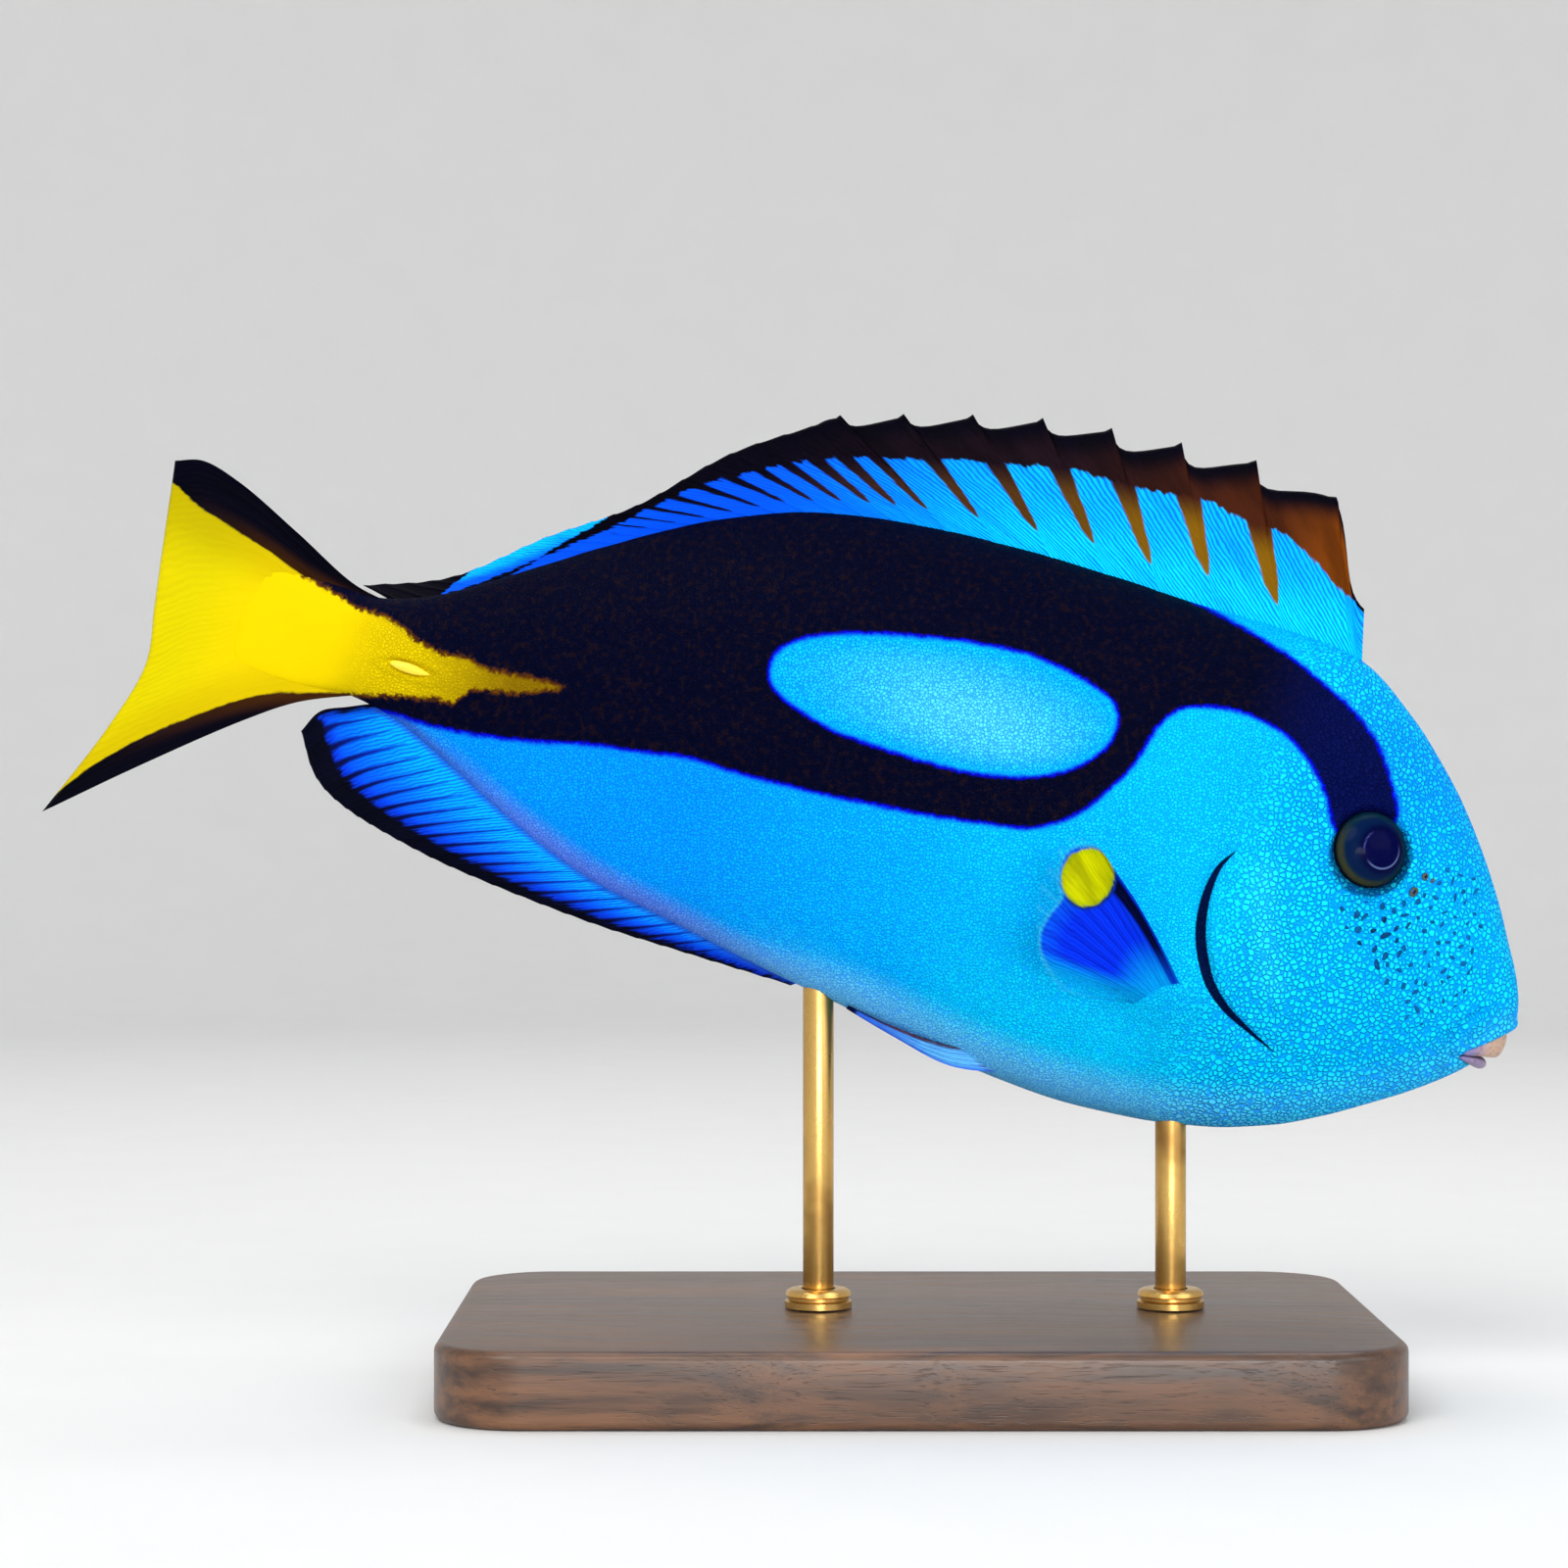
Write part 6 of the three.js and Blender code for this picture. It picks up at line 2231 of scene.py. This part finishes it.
@dataclass
class PelvicFin(PairedFin):
    """The small pelvic fin, folded against the belly, so that its front edge is the lower one."""

    kind: ClassVar[str] = "pelvic_fin"
    gaps: int = 4
    columns: int = 14
    rows: int = 70
    relief: float = 0.2
    roots: Points = ((121.0, 2.6, -33.6), (117.0, 3.6, -31.0))
    leading_edge: Points = ((121.0, 2.6, -33.6), (112.0, 4.4, -35.0), (102.0, 4.2, -33.4), (93.2, 3.4, -31.6))
    trailing_edge: Points = ((117.0, 3.6, -31.0), (110.0, 5.6, -32.2), (101.0, 5.2, -32.0), (93.4, 3.6, -31.0))

    def margin(self, u: np.ndarray) -> np.ndarray:
        """Points along the blunt tip."""
        end = np.array([1.0])
        low, high = self.leading(end), self.trailing(end)
        return low * (1 - u[:, None]) + high * u[:, None]

    def sway(self, u: np.ndarray, v: np.ndarray) -> np.ndarray:
        """The folded fin lies still."""
        return np.zeros(len(u))

    def paint(self, piece: bpy.types.Object, u: np.ndarray, v: np.ndarray, points: np.ndarray) -> None:
        """Pale blue like the belly, with a painted shadow as a dark line along the upper edge, and a dark tip."""
        tint = coats(paint(96, 186, 250), (soft_step(0.3, 0.9, v), paint(60, 120, 235)))
        # Painted shadow along the upper edge, where the fin lies against the belly; the dark tip is the fin's own.
        margin = (u - 0.9) * 3.0 * soft_step(0.1, 0.3, v) - 0.05
        margin = np.maximum(margin, (v - 0.93) * 20)
        margin_tint = coats(paint(74, 46, 70), (soft_step(0.55, 0.9, v), paint(6, 14, 60)))
        mark = 0.1 - u * 1.4
        mark_tint = fill(paint(8, 40, 190), len(u))
        self._give(piece, (margin, mark, np.zeros(len(u))), tint, margin_tint, mark_tint)


@dataclass
class TailSpine:
    """The folding spine of the tail stalk, flush in its groove and pointing forwards.

    Attributes:
        side: the side that it is on.
        place: its middle in the side view.
        length, height, width: its sizes.
        sunk: how far its middle lies inside the skin.
    """

    side: Side
    place: tuple[float, float] = TAIL_SPINE_PLACE
    length: float = 7.0
    height: float = 1.7
    width: float = 1.5
    sunk: float = 0.15

    def build(self) -> bpy.types.Object:
        """Models the spine."""
        piece = new_ball(f"tail_spine_{self.side.word}", 40, 32)
        along, out, up = points_of(piece)[:, [2, 0, 1]].T
        slim = np.where(along > 0, 1 - 0.55 * along**2, 1.0)
        keel = 1 + 0.18 * bell(up, 0.25)
        sizes = (along * self.length / 2, out * slim * keel * self.width / 2, up * slim * self.height / 2)
        x, z = self.place
        centre = (x, self.side.value * (BODY.half_at(x, z) - self.sunk), z)
        return set_in_pose(piece, np.column_stack(sizes) + centre)


# Display stand


@dataclass
class Stand:
    """A walnut base with two brass rods that rise from collars into the belly.

    Attributes:
        centre_x, length, width, thickness: the base, in the row frame.
        corner, bevel: the radius of its corners and of its edges.
        rods: the name and the x of each rod.
        rod_radius: the rods' radius.
        collar_radius, collar_height: the collars.
        gap: what the pieces stand apart.
        rod_over: how far a rod reaches into the belly over its node's top, which hides the gap there.
        level: how far off, in metres, a vertex still counts as level with another.
    """

    centre_x: float = 22.0
    length: float = 150.0
    width: float = 100.0
    thickness: float = 12.0
    corner: float = 14.0
    bevel: float = 1.5
    rods: dict[str, float] = field(default_factory=lambda: {"front": 64.0, "rear": 6.5})
    rod_radius: float = 2.5
    collar_radius: float = 5.5
    collar_height: float = 3.0
    gap: float = 0.3
    rod_over: float = 1.0
    level: float = 1e-5

    def base(self) -> bpy.types.Object:
        """Models the base: a slab with round corners and softened edges."""
        deselect()
        bpy.ops.mesh.primitive_cube_add(size=1.0)
        piece = newest("stand_base")
        sizes = np.array([self.length, self.width, self.thickness])
        mould(piece, (points_of(piece) * sizes + (self.centre_x, 0, self.thickness / 2)) * MM)
        self._bevel_edges(piece, self.corner, 16, upright=True)
        self._bevel_edges(piece, self.bevel, 5, upright=False)
        bpy.ops.object.shade_smooth_by_angle(angle=math.radians(40))
        return piece

    def _bevel_edges(self, piece: bpy.types.Object, radius: float, segments: int, upright: bool) -> None:
        """Rounds the base's upright edges, or those of its top and underside.

        Args:
            piece: the base.
            radius: the radius.
            segments: how many lengths the round has.
            upright: which edges.
        """
        with editing(piece):
            bpy.ops.mesh.select_all(action="DESELECT")
        heights = points_of(piece)[:, 2]
        for edge in piece.data.edges:
            ends = heights[list(edge.vertices)]
            if abs(ends[0] - ends[1]) > self.level:
                edge.select = upright
            else:
                edge.select = not upright and self._on_rim(ends)
        bpy.context.tool_settings.mesh_select_mode = (False, True, False)
        bpy.ops.object.mode_set(mode="EDIT")
        bpy.ops.mesh.bevel(offset=radius * MM, offset_type="OFFSET", segments=segments, profile=0.5)
        bpy.ops.object.mode_set(mode="OBJECT")

    def _on_rim(self, heights: np.ndarray) -> bool:
        """Whether a level edge's heights are those of the top or the underside."""
        return all(abs(h) < self.level or abs(h - self.thickness * MM) < self.level for h in heights)

    def rod(self, name: str) -> bpy.types.Object:
        """Models a rod from its collar up into the belly.

        Args:
            name: which rod.

        Returns:
            The rod.
        """
        low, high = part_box(f"stand_rod_{name}")
        height = (high.z - low.z) / MM + self.rod_over
        deselect()
        bpy.ops.mesh.primitive_cylinder_add(vertices=64, radius=self.rod_radius * MM, depth=height * MM)
        piece = newest(f"stand_rod_{name}")
        mould(piece, points_of(piece) + (self.rods[name] * MM, 0, low.z + height * MM / 2))
        with editing(piece):
            bpy.ops.mesh.bevel(offset=0.3 * MM, segments=2, affect="EDGES")
        bpy.ops.object.shade_smooth_by_angle(angle=math.radians(40))
        return piece

    def collar(self, name: str) -> bpy.types.Object:
        """Models a turned collar round a rod's foot.

        Args:
            name: which rod's.

        Returns:
            The collar.
        """
        inner, outer, height = self.rod_radius + self.gap, self.collar_radius, self.collar_height
        profile = [(inner, 0), (outer, 0), (outer, 1.0), (outer - 0.5, 1.3), (outer - 0.5, 1.7)]
        profile += [(outer - 0.1, 2.0), (outer - 0.3, 2.6), (outer - 0.9, height), (inner, height)]
        deselect()
        bpy.ops.mesh.primitive_circle_add(vertices=72, radius=1.0)
        piece = newest(f"stand_collar_{name}")
        with editing(piece):
            for _ in profile[1:]:
                bpy.ops.mesh.extrude_edges_move(TRANSFORM_OT_translate={"value": (0, 0, 1)})
        rough = points_of(piece)
        level = np.clip(np.round(rough[:, 2]).astype(int), 0, len(profile) - 1)
        rings = np.array(profile)[level]
        turned = rough[:, :2] * rings[:, :1]
        foot = self.thickness + self.gap
        mould(piece, np.column_stack([turned[:, 0] + self.rods[name], turned[:, 1], rings[:, 1] + foot]) * MM)
        with editing(piece):
            bpy.ops.mesh.select_all(action="DESELECT")
            bpy.ops.mesh.select_non_manifold()
            bpy.ops.mesh.bridge_edge_loops()
        face_outwards(piece)
        bpy.ops.object.shade_smooth_by_angle(angle=math.radians(35))
        return piece


# Studio


@dataclass
class Studio:
    """A pale paper sweep, soft lights and the camera.

    Attributes:
        lens: the camera's focal length in millimetres.
        floor_radius, rise: how far the floor reaches and how high the wall goes, in metres.
        turn_radius, turn_steps: the radius of the turn between them, and how many lengths it has.
        sides: how many lengths the wall has round the model.
        aim: what the lamps point at.
        lamps: the name, place, size and power of each lamp.
        sky, sky_strength: the world's colour and its strength.
    """

    lens: float = 90.0
    floor_radius: float = 0.95
    rise: float = 1.3
    turn_radius: float = 0.6
    turn_steps: int = 16
    sides: int = 128
    aim: tuple[float, float, float] = (0.0, 0.0, 0.09)
    lamps: Sequence[tuple[str, tuple[float, float, float], float, float]] = (
        ("key_light", (-0.45, -1.0, 1.1), 0.9, 12.0),
        ("fill_light", (0.95, -0.9, 0.5), 1.0, 5.2),
        ("low_light", (0.15, -1.2, 0.06), 0.5, 11.5),
        ("top_light", (0.1, 0.25, 1.1), 0.9, 6.6),
    )
    sky: Colour = (0.95, 0.97, 1.0, 1.0)
    sky_strength: float = 0.4

    def sweep(self) -> bpy.types.Object:
        """Models the floor and the wall all round as one sheet of paper, open at the top."""
        deselect()
        bpy.ops.mesh.primitive_circle_add(vertices=self.sides, radius=1.0, fill_type="TRIFAN")
        piece = newest("studio_sweep")
        with editing(piece):
            bpy.ops.mesh.select_all(action="DESELECT")
            bpy.ops.mesh.select_mode(type="EDGE")
            bpy.ops.mesh.select_non_manifold()
            for _ in range(self.turn_steps + 1):
                bpy.ops.mesh.extrude_edges_move(TRANSFORM_OT_translate={"value": (0, 0, 1)})
        rough = points_of(piece)
        level = np.round(rough[:, 2])
        angle = np.minimum(level / self.turn_steps, 1) * math.pi / 2
        out = self.floor_radius + self.turn_radius * np.sin(angle)
        up = self.turn_radius * (1 - np.cos(angle)) + self.rise * (level > self.turn_steps)
        mould(piece, np.column_stack([rough[:, :2] * out[:, None], up]))
        bpy.ops.object.shade_smooth()
        piece.data.materials.append(PaperFinish().material())
        return piece

    def lights(self) -> None:
        """Adds a large soft key light, two fills, a light over the back and a pale world."""
        for name, place, size, power in self.lamps:
            data = bpy.data.lights.new(name, "AREA")
            data.shape, data.size, data.energy = "DISK", size, power
            lamp = bpy.data.objects.new(name, data)
            bpy.context.scene.collection.objects.link(lamp)
            lamp.location = place
            lamp.visible_camera = False
            lamp.rotation_euler = (Vector(self.aim) - Vector(place)).to_track_quat("-Z", "Y").to_euler()
        world = bpy.data.worlds.new("studio_world")
        world.use_nodes = True
        background = world.node_tree.nodes["Background"]
        background.inputs["Color"].default_value = self.sky
        background.inputs["Strength"].default_value = self.sky_strength
        bpy.context.scene.world = world

    def camera(self) -> None:
        """Adds the camera, level with the middle of the fish."""
        data = bpy.data.cameras.new("camera")
        data.lens, data.sensor_width, data.clip_start = self.lens, 36.0, 0.01
        camera = bpy.data.objects.new("camera", data)
        bpy.context.scene.collection.objects.link(camera)
        camera.location = Vector(POSE.camera) * MM
        camera.rotation_euler = (math.pi / 2, 0, 0)
        bpy.context.scene.camera = camera
        bpy.context.scene.view_settings.view_transform = "Standard"


FLESH = ("head", "lower_jaw", "gill_cover_right", "gill_cover_left", "trunk", "tail_stalk")


def dress_fish() -> None:
    """Builds the fish's pieces."""
    settle(Skin().build(), SkinFinish().material(), FLESH)
    settle(Lips().build(), LipFinish().material())
    eye_paint, freckles = EyeFinish().material(), FreckleFinish().material()
    bone = SpineFinish().material()
    blue = FinFinish("blue_fin").material()
    low_blue = FinFinish("low_fin", ragged=0.9).material()
    ochre = paint(150, 120, 0)
    yellow = FinFinish("yellow_fin", streaks=0.12, ragged=0.9, streak_shade=ochre, calm_root=(0.5, 1.0)).material()
    fan = FinFinish("fan_fin", streaks=0.4, ragged=0.9, streak_shade=paint(2, 14, 170), edge_blur=0.3).material()
    settle(DorsalFin().build(), blue, ("dorsal_fin",))
    settle(AnalFin().build(), low_blue, ("anal_fin",))
    settle(CaudalFin().build(), yellow, ("caudal_fin",))
    for side in Side:
        for fin in (PectoralFin(side=side), PelvicFin(side=side)):
            settle(fin.build(), fan, (fin.name,))
        settle(Eye(side).build(), eye_paint, (f"eye_{side.word}",))
        settle(TailSpine(side).build(), bone, (f"tail_spine_{side.word}",))
        settle(FaceDashes(side).build(), freckles)
        settle(Nostrils(side).build(), freckles)


def dress_stand() -> None:
    """Builds the stand's pieces."""
    stand = Stand()
    brass = BrassFinish().material()
    settle(stand.base(), WalnutFinish().material(), ("stand_base",))
    for name in stand.rods:
        settle(stand.rod(name), brass, (f"stand_rod_{name}",))
        settle(stand.collar(name), brass, (f"stand_collar_{name}",))


def main() -> None:
    """Loads the frame and builds the model and the studio."""
    logging.basicConfig(level=logging.INFO, format="%(message)s")
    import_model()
    dress_fish()
    dress_stand()
    studio = Studio()
    studio.sweep()
    studio.lights()
    studio.camera()


if __name__ == "__main__":
    main()
